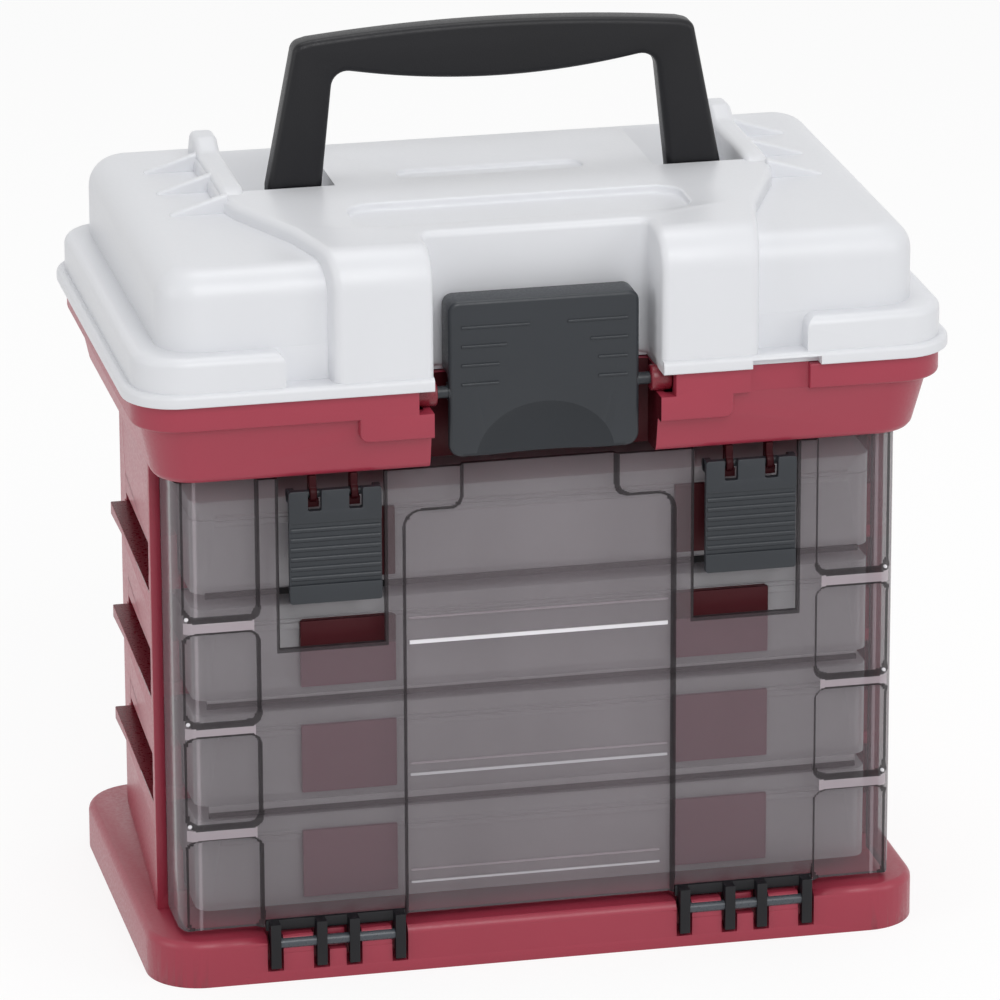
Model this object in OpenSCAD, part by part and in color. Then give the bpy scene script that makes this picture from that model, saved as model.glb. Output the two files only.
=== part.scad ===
// Fishing tackle cabinet: a lidded bin on a rack of four slide-out utility boxes.
// Millimetres, +Z up, +Y to the back, origin under the middle of the foot.

/* [Utility boxes] */
// Width of one box
box_w = 228.6; // [224:0.1:229]
// Depth of one box, front to back
box_d = 127; // [122:1:130]
// Height of one box with its lid
box_h = 31.8; // [30:0.1:32.4]
// Height from one box to the next
box_pitch = 37; // [36.5:0.5:40]
// Wall of a box
box_wall = 1.8; // [1.5:0.1:2.2]
// Height of a box's lid
box_lid_h = 6.5; // [5:0.5:8]
// Width of a box's snap latch
box_latch_w = 32; // [28:1:34]
// Distance of a box's snap latch from the box's side
box_latch_in = 51.3; // [48.3:0.1:52.3]
// Cross dividers in each row of a box
box_dividers = 1; // [1:1:4]
// How far the dividers of the two rows stand from the middle, to opposite sides
divider_shift = 38; // [0:1:40]

/* [Foot] */
// How far the foot stands out past a box at each side
foot_side = 16.7; // [16:0.1:20]
// How far the foot stands out past a box at the front and at the back
foot_front = 12.5; // [12.5:0.1:16]
// Height of the foot
foot_h = 16; // [15:0.5:20]
// Radius of the foot's corners
foot_r = 18; // [12:1:24]
// Rounding of the foot's top edge
foot_round = 2; // [1:0.5:3]
// Thickness of the foot's walls, deck and ribs
foot_wall = 2.5; // [2:0.5:3]
// Widest cell between the ribs under the foot
foot_cell = 27; // [20:1:28]
// How far the ribs hang below the foot's deck
foot_rib = 3.5; // [3:0.1:3.8]

/* [Rack] */
// How far the rack's front corners lie inside the foot's sides
rack_in = 6.7; // [5:0.1:6.8]
// How much narrower each side of the rack is at the back
rack_taper = 6.7; // [4:0.1:6.8]
// How far the side walls start behind the foot's front
rack_front_in = 33; // [32:0.5:36]
// How far the back wall lies in front of the foot's back
rack_back_in = 7; // [5:0.5:7]
// Radius of the rack's back corners
rack_r = 12; // [8:1:14]
// Wall of the rack
rack_wall = 2.5; // [2:0.1:2.5]
// Height of the lowest pair of rails
low_rail_h = 5.8; // [5.6:0.1:7]
// Width of the rail that a box stands on
rail_w = 6; // [5:0.5:8]
// Height of the gill pressed in above each rail
gill_h = 9; // [7:0.5:11]
// Length of a gill
gill_l = 73; // [60:1:76]
// Room from the top box to the bin
rack_head = 11.1; // [11:0.1:14]

/* [Door] */
// How far the door's sides lie inside the rack's front corners
door_in = 3.1; // [3:0.1:4]
// How far the door's face lies behind the foot's front
door_face_in = 5.2; // [5.1:0.1:5.4]
// How far the bands stand out in front of the door's face
door_step = 2; // [1.5:0.1:2.2]
// Thickness of the door
door_t = 2; // [1.8:0.1:2.2]
// Depth of the door's side flanges
door_side_d = 24.8; // [20:0.1:25]
// Gap under the door, above the foot
door_gap = 2.5; // [2.3:0.1:3]
// Gap above the door, below the bin
door_head = 5; // [4.6:0.1:8]
// Width of the band between the middle panel and a window column
door_band_w = 50.1; // [49.6:0.1:52.4]
// Half width of the middle panel's neck
neck_hw = 25; // [20:1:30]
// Height of the neck
neck_h = 12; // [9:0.5:14]
// Width of a window column
window_w = 26.8; // [26:0.1:28]
// Height of the lowest window's ridge above the door's bottom
window_z = 30.8; // [28:0.1:32]
// Height from one window ridge to the next
window_pitch = 36; // [35:0.5:37]
// How far the hinge axis lies behind the foot's front
door_axis_in = 1; // [0.9:0.1:1.2]
// How far the hinge axis lies below the foot's top
door_axis_drop = 2.6; // [2.5:0.1:3]
// Radius of the hinge rods
door_rod_r = 1.5; // [1.3:0.1:1.6]
// Width of a hinge finger
finger_w = 3.4; // [3:0.1:4]
// How far a hinge finger reaches below its axis
finger_tail = 8.2; // [6:0.1:8.4]

/* [Door latches] */
// Distance of a door latch from the window column
clasp_in = 25; // [24.4:0.1:25.4]
// Width of a door latch
clasp_w = 30.6; // [29:0.1:31]
// Height of a door latch
clasp_h = 42; // [38:0.5:44]
// Gap above a door latch, below the bin
clasp_head = 2.5; // [2.4:0.1:4]
// How far a door latch stands out in front of the foot
clasp_out = 4; // [3.8:0.1:4.4]
// Thickness of a door latch
clasp_t = 2.6; // [2.2:0.1:2.8]
// Room between a door latch and the cut-out beside it
clasp_room = 2.3; // [2:0.1:3]
// Height of the cut-out below a door latch
cut_h = 16; // [12:1:18]

/* [Bin] */
// How far the bin's floor reaches past the rack's sides
bin_over = 2.7; // [1:0.1:4]
// How much wider each side of the bin is at its rim
bin_flare = 7.5; // [6:0.1:9]
// How far the bin's floor reaches in front of the foot
bin_front_over = 2; // [1.5:0.1:3]
// How much further the rim reaches to the front
bin_front_flare = 7.4; // [7:0.1:9]
// How far the bin's floor reaches behind the rack
bin_back_over = 2; // [1:0.1:3]
// How much further the rim reaches to the back
bin_back_flare = 6; // [5:0.1:7]
// Height of the bin
bin_h = 28.7; // [28:0.1:40]
// Height of the band under the rim
band_h = 8.7; // [7:0.1:10]
// Height of the deeper band round the latch
deep_band_h = 16.4; // [14:0.1:18]
// Half width of the deeper band
deep_band_hw = 62; // [58:1:64]
// How far the band stands out
band_t = 3; // [2:0.1:3.4]
// Wall of the bin
bin_wall = 2.5; // [2:0.1:3]

/* [Lid] */
// How far the lid's rim reaches past the bin's sides
rim_over = 2.8; // [2:0.1:4]
// How far the lid's rim reaches in front of the bin
rim_front_over = 2.6; // [2:0.1:4]
// How far the lid's rim reaches behind the bin
rim_back_over = 1.3; // [1:0.1:2]
// Radius of the rim's corners
rim_r = 18; // [17:1:22]
// Thickness of the lid's rim
rim_t = 4.5; // [4.2:0.1:6]
// How far the step above the rim is set in
tier_in = 2.9; // [2:0.1:4]
// How far the step is set in at the front and at the back
tier_front_in = 1.4; // [1:0.1:2]
// Height of the step above the rim
tier_h = 11.5; // [10:0.1:13]
// How far the shoulders are set in from the rim
dome_in = 9.3; // [8:0.1:11]
// How far the shoulders are set in at the front
dome_front_in = 8.5; // [8:0.1:10]
// How far the shoulders are set in at the back
dome_back_in = 3.3; // [3:0.1:5]
// Radius of the shoulders' corners
dome_r = 15; // [12:1:16]
// Height of the shoulders above the rim's underside
dome_h = 42; // [41.5:0.5:50]
// Rounding of the shoulders
dome_round = 11; // [8:0.5:12]
// Height of the raised middle above the shoulders
spine_rise = 5; // [4:0.1:6]
// Half width of the raised middle at its front
spine_front_hw = 68.5; // [67:0.1:70]
// Half width of the raised middle at its widest
spine_hw = 93.5; // [92:0.1:96]
// How far back the raised middle is at its widest
spine_mid_y = -14; // [-18:1:-10]
// Rounding of the raised middle's front edge
spine_round = 13; // [10:0.5:14]
// Height of the ears above the raised middle
ear_rise = 3; // [2:0.1:4]
// Height of the hump on an ear
hump_h = 5.6; // [4:0.1:7]
// Thickness of a fin
fin_t = 3; // [2:0.1:4]
// Distance from one fin to the next
fin_pitch = 25.8; // [24:0.1:26]
// Wall of the lid
lid_wall = 2.3; // [2:0.1:2.5]
// Distance of a lid hinge from the middle
hinge_x = 78; // [70:1:100]
// Length of a lid hinge
hinge_l = 32; // [26:1:40]
// Radius of a lid hinge's knuckles
hinge_r = 4; // [3.5:0.1:4.2]
// Radius of a lid hinge's pin
hinge_pin_r = 1.5; // [1.2:0.1:2]

/* [Handle] */
// Place of the handle's pivot, front to back
grip_axis_y = 5; // [3:0.5:6]
// Height of the pivot below the raised middle's top
grip_axis_drop = 6.5; // [6:0.1:8]
// Height of the handle above its pivot
grip_h = 58.7; // [55:0.1:60]
// Depth of the handle, front to back
grip_d = 17; // [14:0.5:17]
// Thickness of the grip bar in the middle
grip_bar = 19; // [15:0.5:19]
// How much the bar's middle hangs below its ends
grip_belly = 4.8; // [2:0.1:5]
// How much the bar's top falls to its ends
grip_crown = 3.2; // [2:0.1:4]
// Gap between the side wall of a well and the foot of the handle's leg
grip_side_gap = 7; // [5:0.5:9]
// How much each leg spreads to its foot
grip_spread = 10; // [8:0.5:10]
// Width of a leg at the shoulder
leg_top_w = 13.2; // [12:0.1:13.4]
// Width of a leg at its foot
leg_low_w = 19.4; // [17:0.1:19.6]
// Gap between a leg's boss and the wall of its well
boss_gap = 0.5; // [0.3:0.1:0.6]
// Radius of the pivot pins
grip_pin_r = 2.5; // [2:0.1:3]
// Width of the wells for the legs
well_w = 30.5; // [30:0.5:31]

/* [Main latch] */
// Half width of the main latch
latch_hw = 31.6; // [30:0.1:32]
// Bottom of the main latch above the bin's underside
latch_low = 5; // [4:0.5:6]
// Height of the main latch
latch_h = 51; // [48:0.5:54]
// How far the main latch's face lies behind the bin's rim
latch_in = 5.8; // [5.6:0.1:6.4]
// Thickness of the main latch's plate
latch_t = 3; // [2.5:0.1:3.2]
// Depth of the main latch's skirt
latch_skirt = 12; // [10:0.5:13]
// Height of the main latch's pivot above its bottom
latch_axis_up = 20.3; // [19.5:0.1:21]
// Radius of the main latch's pivot stubs
latch_pin_r = 2; // [1.8:0.1:2.2]
// Room beside the main latch in its bay
bay_room = 6; // [5.6:0.1:7]

/* [Clearances] */
// Gap between faces that lie on one another
seam = 0.3; // [0.2:0.05:0.4]
// Running gap of a pin in its hole
run = 0.05; // [0.03:0.01:0.08]
// Gap of a swinging piece to its side
side_gap = 1; // [0.8:0.1:1.1]
// Gap of a box to the guides beside it
slide_gap = 0.7; // [0.5:0.1:1]
// Room above a box, below the next rail
head_gap = 0.7; // [0.5:0.1:1]

/* [Hidden] */
$fn = 48;
BOXES = 4;
SIDES = [-1, 1];
eps = 0.02;
box_front_y = -box_d / 2;
box_latch_x = box_w / 2 - box_latch_in;
box_rim = 0.8;
foot_w = box_w + 2 * foot_side;
foot_d = box_d + 2 * foot_front;
foot_y = -foot_d / 2;
box_z0 = foot_h + low_rail_h + seam;
rail_t = box_pitch - box_h - seam - head_gap;
rack_front_hw = foot_w / 2 - rack_in;
rack_back_hw = rack_front_hw - rack_taper;
rack_front_y = foot_y + rack_front_in;
rack_back_y = -foot_y - rack_back_in;
rack_top = box_z0 + (BOXES - 1) * box_pitch + box_h + rack_head;
guide_x = box_w / 2 + slide_gap;
guide_t = 1.7;
gill_y = rack_front_y + 8;
bin_z0 = rack_top;
bin_top = bin_z0 + bin_h;
bin_low_hw = rack_front_hw + bin_over;
bin_top_hw = bin_low_hw + bin_flare;
bin_low_y = foot_y - bin_front_over;
bin_top_y = bin_low_y - bin_front_flare;
bin_low_back_y = rack_back_y + bin_back_over;
bin_back_y = bin_low_back_y + bin_back_flare;
bin_low_r = 14;
bin_top_r = 16;
door_hw = rack_front_hw - door_in;
door_face_y = foot_y + door_face_in;
door_band_y = door_face_y - door_step;
door_side_y = door_face_y + door_side_d;
door_z0 = foot_h + door_gap;
door_z1 = bin_z0 - door_head;
neck_z = door_z1 - neck_h;
window_x = door_hw - window_w;
panel_hw = window_x - door_band_w;
door_r = 6;
door_axis_y = foot_y + door_axis_in;
door_axis_z = foot_h - door_axis_drop;
hub_r = door_rod_r + 0.8;
finger_x = [for (d = [45.9, 30.4, 19.4, 3.9]) window_x - d];
clip_x = [finger_x[0] - 2.5, finger_x[3] + 2.5];
clip_t = 1.4;
clip_z = door_z0 + 2.2;
clasp_x = window_x - clasp_in;
clasp_y = foot_y - clasp_out;
clasp_z1 = bin_z0 - clasp_head;
clasp_z0 = clasp_z1 - clasp_h;
clasp_rod_r = 1.4;
clasp_lug_r = 2.2;
clasp_axis_y = clasp_y + clasp_t + 2;
clasp_axis_z = clasp_z1 - 4;
hook_x = [clasp_x - 6.8, clasp_x + 6.8];
hook_w = 2.4;
hook_r = 2.9;
rim_hw = bin_top_hw + rim_over;
rim_y = bin_top_y - rim_front_over;
rim_back_y = bin_back_y + rim_back_over;
lid_z0 = bin_top + seam;
rim_z = lid_z0 + rim_t;
tier_z = rim_z + tier_h;
dome_hw = rim_hw - dome_in;
dome_y = rim_y + dome_front_in;
dome_back_y = rim_back_y - dome_back_in;
dome_z = lid_z0 + dome_h;
spine_z = dome_z + spine_rise;
spine_y = rim_y + tier_front_in;
spine_flare = 5.5;
grip_axis_z = spine_z - grip_axis_drop;
well_out = spine_hw - 8.5;
well_in = well_out - well_w;
grip_foot_hw = well_out - grip_side_gap;
grip_hw = grip_foot_hw - grip_spread;
well_y = grip_axis_y - grip_d / 2 - side_gap + seam;
well_z = grip_axis_z - grip_d / 2 - side_gap;
trough_y = grip_axis_y + grip_h - grip_bar - side_gap;
hinge_y = rim_back_y + hinge_r + 1.7;
hinge_z = lid_z0;
latch_y = bin_top_y + latch_in;
latch_z0 = bin_z0 + latch_low;
latch_z1 = latch_z0 + latch_h;
latch_axis_y = latch_y + 2.5;
latch_axis_z = latch_z0 + latch_axis_up;
bay_hw = latch_hw + bay_room;
bay_y = latch_y + latch_t + latch_skirt - 1.9;
ear_x = latch_hw + bay_room - 2.2;
notch_x = [67.5, 87.5];

// ---- shared shapes ----

// Rectangle with round corners, from its half width and its front and back
module round_rect(hw, y0, y1, r) {
    translate([-hw, y0 + r]) square([2 * hw, y1 - y0 - 2 * r]);
    translate([-hw + r, y0]) square([2 * hw - 2 * r, y1 - y0]);
    for (sx = SIDES, y = [y0 + r, y1 - r])
        translate([sx * (hw - r), y]) circle(r);
}

module slab(hw, y0, y1, z0, z1, r) {
    translate([0, 0, z0]) linear_extrude(z1 - z0) round_rect(hw, y0, y1, r);
}

// Box from its two corners
module block(lo, hi) {
    translate(lo) cube([hi[0] - lo[0], hi[1] - lo[1], hi[2] - lo[2]]);
}

// The same block on the right side, or mirrored to the left
module side_block(s, x0, x1, y0, y1, z0, z1) {
    block([s > 0 ? x0 : -x1, y0, z0], [s > 0 ? x1 : -x0, y1, z1]);
}

// Round bar along X
module bar_x(x0, x1, y, z, r) {
    translate([x0, y, z]) rotate([0, 90, 0]) cylinder(r = r, h = x1 - x0);
}

module side_bar(s, x0, x1, y, z, r) {
    bar_x(s > 0 ? x0 : -x1, s > 0 ? x1 : -x0, y, z, r);
}

// Slab with a rounded top edge
module pillow(hw, y0, y1, z0, z1, r, e) {
    hull() {
        slab(hw, y0, y1, z0, z1 - e, r);
        for (sx = SIDES, y = [y0 + r, y1 - r])
            translate([sx * (hw - r), y, z1 - e])
                rotate_extrude($fn = 32) intersection() {
                    translate([r - e, 0]) circle(e, $fn = 32);
                    translate([0, -e]) square([r, 2 * e]);
                }
    }
}

// ---- foot ----

module foot() {
    cells_x = ceil(foot_w / (foot_cell + foot_wall));
    cells_y = ceil(foot_d / (foot_cell + foot_wall));
    rib_z = foot_h - foot_wall - foot_rib;
    color("#a04655") difference() {
        pillow(foot_w / 2, foot_y, -foot_y, 0, foot_h, foot_r, foot_round);
        difference() {
            slab(foot_w / 2 - foot_wall, foot_y + foot_wall, -foot_y - foot_wall, -1,
                foot_h - foot_wall, foot_r - foot_wall);
            for (i = [1:cells_x - 1])
                translate([(i / cells_x - 0.5) * foot_w - foot_wall / 2, foot_y, rib_z])
                    cube([foot_wall, foot_d, foot_h]);
            for (j = [1:cells_y - 1])
                translate([-foot_w / 2, (j / cells_y - 0.5) * foot_d - foot_wall / 2, rib_z])
                    cube([foot_w, foot_wall, foot_h]);
            for (s = SIDES) side_block(s, clip_x[0] - 2.5, clip_x[1] + 2.5, foot_y,
                door_axis_y + finger_tail + 5, 0, foot_h);
        }
        for (s = SIDES) {
            for (x = finger_x) finger_slot(s * x);
            side_bar(s, clip_x[0], clip_x[1], door_axis_y, door_axis_z, door_rod_r + run);
            side_block(s, clip_x[0], clip_x[1], foot_y - 5, door_axis_y - door_rod_r / 2,
                door_axis_z - door_rod_r - 1.8, door_axis_z);
            side_block(s, finger_x[1], finger_x[2], foot_y - 5, door_axis_y + 2.6,
                door_axis_z - door_rod_r - 1.8, foot_h + 1);
        }
    }
}

// Room for one hinge finger and the swing of its tail
module finger_slot(x) {
    half = finger_w / 2 + side_gap;
    reach = norm([finger_tail, hub_r]) + side_gap;
    block([x - half, foot_y - 5, door_axis_z - reach],
        [x + half, door_axis_y + reach, foot_h + 1]);
}

// ---- rack ----

// Points of an arc about a centre
function arc(cx, cy, r, a0, a1, n) =
    [for (i = [0:n]) let (a = a0 + (a1 - a0) * i / n) [cx + r * cos(a), cy + r * sin(a)]];

// Plan of the rack: open at the front, narrower at the back
module rack_plan(inset) {
    fx = rack_front_hw - inset;
    bx = rack_back_hw - inset;
    by = rack_back_y - inset;
    r = rack_r - inset;
    right = concat([[fx, rack_front_y]], arc(bx - r, by - r, r, 0, 90, 8));
    left = [for (i = [len(right) - 1:-1:0]) [-right[i][0], right[i][1]]];
    polygon(concat(right, left));
}

// A solid strip inside each side wall, from x0 out to the wall's face
module side_strip(z0, z1, x0, y0, y1) {
    intersection() {
        translate([0, 0, z0]) linear_extrude(z1 - z0) rack_plan(0);
        for (s = SIDES) side_block(s, x0, rack_front_hw + 1, y0, y1, z0, z1);
    }
}

module rack() {
    inner_hw = rack_front_hw - rack_wall;
    color("#9a4352") difference() {
        union() {
            difference() {
                translate([0, 0, foot_h]) linear_extrude(rack_top - foot_h) rack_plan(0);
                translate([0, 0, foot_h - 1]) linear_extrude(rack_top - foot_h + 2)
                    rack_plan(rack_wall);
                block([-inner_hw, rack_front_y - 1, foot_h - 1],
                    [inner_hw, rack_front_y + 9, rack_top + 1]);
            }
            for (s = SIDES) side_block(s, rack_front_hw - 3.5, rack_front_hw, rack_front_y,
                rack_front_y + 4, foot_h, rack_top);
            for (k = [0:BOXES - 1]) rack_level(k);
        }
        for (k = [1:BOXES - 1]) gill(k);
    }
}

// Height of the rail's top under box k
function rail_z(k) = box_z0 + k * box_pitch - seam;

// Rails under box k, with the guides beside it and the lips outside
module rack_level(k) {
    z = rail_z(k);
    low = k == 0 ? foot_h : z - rail_t;
    side_strip(low, z, box_w / 2 - rail_w, rack_front_y, rack_back_y - 1);
    side_strip(z - eps, z + gill_h + 5, guide_x, rack_front_y + 2, rack_back_y - rack_r);
    if (k > 0) for (s = SIDES) side_block(s, rack_back_hw - 2, rack_front_hw, rack_front_y + 1,
        gill_y + gill_l + 2, z - rail_t, z);
}

// The pockets pressed into the side walls above rail k
module gill(k) {
    for (s = SIDES) side_block(s, guide_x + guide_t, rack_front_hw + 2, gill_y, gill_y + gill_l,
        rail_z(k), rail_z(k) + gill_h);
}

// ---- bin ----

// The bin's flared body, drawn in by inset
module bin_body(inset, z0, z1) {
    hull() {
        slab(bin_low_hw - inset, bin_low_y + inset, bin_low_back_y - inset, z0, z0 + 1,
            bin_low_r - inset);
        slab(bin_top_hw - band_t - inset, bin_top_y + band_t + inset,
            bin_back_y - band_t / 2 - inset, z1 - 1, z1, bin_top_r - 1 - inset);
    }
}

// The ears that carry the main latch's stubs
module latch_ears() {
    for (s = SIDES) {
        side_block(s, ear_x, bay_hw + 1, latch_axis_y - 3.2, latch_axis_y + 3.2,
            latch_axis_z - 9, latch_axis_z);
        side_bar(s, ear_x, bay_hw + 1, latch_axis_y, latch_axis_z, 3.2);
    }
}

module bin() {
    bay_out = bay_hw + bin_wall;
    mouth_z = bin_top - band_h;
    color("#a04655") difference() {
        union() {
            difference() {
                union() {
                    bin_body(0, bin_z0, mouth_z + 1);
                    slab(bin_top_hw, bin_top_y, bin_back_y, mouth_z, bin_top, bin_top_r);
                    block([-deep_band_hw, bin_top_y, bin_top - deep_band_h],
                        [deep_band_hw, bin_top_y + 10, bin_top]);
                }
                difference() {
                    union() {
                        bin_body(bin_wall, bin_z0 + bin_wall, mouth_z + 1);
                        slab(bin_top_hw - band_t - bin_wall, bin_top_y + band_t + bin_wall,
                            bin_back_y - band_t / 2 - bin_wall, mouth_z, bin_top + 1,
                            bin_top_r - 1 - bin_wall);
                    }
                    block([-bay_out, bin_top_y, bin_z0],
                        [bay_out, bay_y + bin_wall, bin_top + 2]);
                }
            }
            for (s = SIDES, d = [-hinge_l / 2, hinge_l / 4]) bin_knuckle(s * hinge_x + d);
        }
        difference() {
            block([-bay_hw, rim_y - 2, bin_z0 + bin_wall], [bay_hw, bay_y, bin_top + 2]);
            latch_ears();
        }
        for (s = SIDES) {
            side_bar(s, ear_x - 1, bay_hw + bin_wall - 0.5, latch_axis_y, latch_axis_z,
                latch_pin_r + run);
            bar_x(s * hinge_x - hinge_l / 2 - 1, s * hinge_x + hinge_l / 2 + 1, hinge_y,
                hinge_z, hinge_pin_r + run);
        }
        block([notch_x[0], bin_top_y - 1, mouth_z - 1],
            [notch_x[1], bin_top_y + band_t, bin_top + 1]);
    }
}

// Half of the lid hinge that the bin carries
module bin_knuckle(x) {
    bar_x(x, x + hinge_l / 4, hinge_y, hinge_z, hinge_r);
    block([x, bin_back_y - 3, hinge_z - hinge_r - 3], [x + hinge_l / 4, hinge_y, bin_top - 0.1]);
}

// The arms under the bin that carry the door latches' rods
module bin_hooks() {
    color("#8c2f3e") for (s = SIDES, x = hook_x) difference() {
        union() {
            bar_x(s * x - hook_w / 2, s * x + hook_w / 2, clasp_axis_y, clasp_axis_z, hook_r);
            block([s * x - hook_w / 2, clasp_axis_y - 1.6, clasp_axis_z],
                [s * x + hook_w / 2, clasp_axis_y + hook_r, bin_z0]);
        }
        bar_x(s * x - hook_w, s * x + hook_w, clasp_axis_y, clasp_axis_z, clasp_rod_r + run);
    }
}

module lid_hinge_pins() {
    color("#b9bcc0") for (s = SIDES) bar_x(s * hinge_x - hinge_l / 2, s * hinge_x + hinge_l / 2,
        hinge_y, hinge_z, hinge_pin_r);
}

// ---- lid ----

// The raised middle: tapered in plan, rounded over at the front
module spine(inset, z0, top) {
    y0 = spine_y + inset;
    r = spine_round - inset;
    nose = spine_front_hw - inset;
    flank = nose + spine_flare;
    wide = spine_hw - inset;
    back_y = trough_y + 1.5;
    hull() {
        translate([0, 0, z0]) linear_extrude(top - r - z0) polygon([
            [-nose, y0], [nose, y0], [flank, y0 + 6.6], [flank, y0 + 16], [wide, spine_mid_y],
            [wide, back_y], [-wide, back_y], [-wide, spine_mid_y], [-flank, y0 + 16],
            [-flank, y0 + 6.6]]);
        translate([0, 0, z0]) linear_extrude(top - z0) polygon([
            [-flank + 1.4, y0 + r + 2], [flank - 1.4, y0 + r + 2], [wide, spine_mid_y],
            [wide, back_y], [-wide, back_y], [-wide, spine_mid_y]]);
        bar_x(-nose, nose, y0 + r, top - r, r, $fn = 32);
    }
}

// The wells for the handle's legs and the trough for its folded bar, open to the back
module grip_wells(grow) {
    back_y = rim_back_y + 5;
    for (s = SIDES) side_block(s, well_in - grow, well_out + grow, well_y - grow, back_y,
        well_z - grow, spine_z + 12);
    block([-well_out - grow, trough_y - grow, well_z - grow],
        [well_out + grow, back_y, spine_z + 12]);
}

// Side ear beside a handle well: a plate with a hump at its back
module well_ear(s) {
    x0 = s > 0 ? well_out : -spine_hw;
    z1 = spine_z + ear_rise;
    y1 = trough_y + 4;
    translate([x0, 0, 0]) rotate([90, 0, 90]) linear_extrude(spine_hw - well_out) polygon([
        [spine_mid_y - 8, dome_z - 3], [spine_mid_y, z1], [y1 - 14, z1], [y1 - 10, z1 + hump_h],
        [y1 + 2, z1 + hump_h], [y1 + 8, dome_z - 3]]);
}

// One of the fins that brace an ear
module fin(s, y) {
    x0 = spine_hw - 1;
    x1 = spine_hw + 17.1;
    translate([0, y + fin_t / 2, 0]) rotate([90, 0, 0]) linear_extrude(fin_t) polygon([
        [s * x0, spine_z + ear_rise], [s * x1, dome_z + 0.6], [s * x1, dome_z - 2],
        [s * x0, dome_z - 2]]);
}

// Half of the lid hinge that the lid carries
module lid_knuckle(x) {
    half = hinge_l / 4 - 0.4;
    bar_x(x - half, x + half, hinge_y, hinge_z, hinge_r);
    block([x - half, rim_back_y - 4, lid_z0 + 0.3], [x + half, hinge_y, lid_z0 + hinge_r]);
}

module lid_shell() {
    slab(rim_hw, rim_y, rim_back_y, lid_z0, rim_z, rim_r);
    slab(rim_hw - tier_in, rim_y + tier_front_in, rim_back_y - tier_front_in, lid_z0, tier_z,
        rim_r - 1.5);
    pillow(dome_hw, dome_y, dome_back_y, lid_z0, dome_z, dome_r, dome_round);
    spine(0, lid_z0, spine_z);
    for (s = SIDES) {
        well_ear(s);
        for (i = [0:2]) fin(s, grip_axis_y - 16.3 + i * fin_pitch);
        lid_knuckle(s * hinge_x);
    }
}

// The space inside the lid, with the walls of the wells and of the latch bay left in
module lid_cavity() {
    w = lid_wall;
    difference() {
        union() {
            pillow(dome_hw - w, dome_y + w, dome_back_y - w, lid_z0 - 1, dome_z - w, dome_r - w,
                dome_round - w);
            spine(w, lid_z0 - 1, spine_z - w);
        }
        grip_wells(w);
        block([-bay_hw - w, rim_y, lid_z0 - 2], [bay_hw + w, bay_y + 1.5 + w, spine_z]);
    }
}

module lid() {
    color("#e4e7ea") difference() {
        lid_shell();
        lid_cavity();
        grip_wells(0);
        block([-bay_hw, rim_y - 1, lid_z0 - 1], [bay_hw, bay_y + 1.5, spine_z + 1]);
        block([notch_x[0], rim_y - 1, lid_z0 - 1], [notch_x[1] + 3.1, rim_y + 5, rim_z - 1.5]);
        for (s = SIDES) {
            side_block(s, spine_front_hw + spine_flare, notch_x[1], rim_y + tier_front_in - eps,
                dome_y, rim_z, tier_z + 1);
            bar_x(s * hinge_x - hinge_l / 2, s * hinge_x + hinge_l / 2, hinge_y, hinge_z,
                hinge_pin_r + run);
            side_bar(s, well_in - lid_wall - 1, spine_hw - 2, grip_axis_y, grip_axis_z,
                grip_pin_r + run);
        }
        top_groove(spine_front_hw - 14.5, spine_y + 26.6, spine_y + 49.6);
        top_groove(spine_front_hw - 37.5, grip_axis_y + 1, grip_axis_y + 9);
    }
}

// A shallow stadium pressed into the lid's top
module top_groove(hw, y0, y1) {
    slab(hw, y0, y1, spine_z - 1, spine_z + 1, (y1 - y0) / 2 - 0.01);
}

// ---- handle ----

module handle_pins() {
    color("#2e3034") for (s = SIDES) side_bar(s, well_in - lid_wall + 0.2, spine_hw - 2.3,
        grip_axis_y, grip_axis_z, grip_pin_r);
}

// Front outline of the handle, in X and height above the pivot
module grip_outline() {
    steps = 8;
    end_z = grip_h - grip_crown;
    low_z = grip_h - grip_bar;
    foot_x = grip_foot_hw;
    in_x = grip_hw - leg_top_w;
    top = [for (i = [-steps:steps]) let (t = i / steps)
        [(grip_hw - 4.6) * t, grip_h - grip_crown * pow(t, 2)]];
    under = [for (i = [steps:-1:-steps]) let (t = i / steps)
        [(in_x - 3) * t, low_z + grip_belly * pow(t, 2)]];
    polygon(concat([[-foot_x, 0], [-grip_hw, end_z - 5], [-grip_hw + 2.2, end_z - 1.2]], top,
        [[grip_hw - 2.2, end_z - 1.2], [grip_hw, end_z - 5], [foot_x, 0],
        [foot_x - leg_low_w, 0], [in_x, low_z + grip_belly - 4]], under,
        [[-in_x, low_z + grip_belly - 4], [-foot_x + leg_low_w, 0]]));
}

module handle() {
    foot_x = grip_foot_hw;
    color("#303236") difference() {
        union() {
            translate([0, grip_axis_y + grip_d / 2, grip_axis_z]) rotate([90, 0, 0])
                linear_extrude(grip_d) grip_outline();
            for (s = SIDES) {
                side_bar(s, foot_x - leg_low_w, foot_x, grip_axis_y, grip_axis_z, grip_d / 2);
                side_bar(s, well_in + boss_gap, foot_x - 1, grip_axis_y, grip_axis_z,
                    grip_pin_r + 4.5);
            }
        }
        for (s = SIDES) side_bar(s, well_in - 1, foot_x + 1, grip_axis_y, grip_axis_z,
            grip_pin_r + run);
    }
}

// ---- main latch ----

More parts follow.
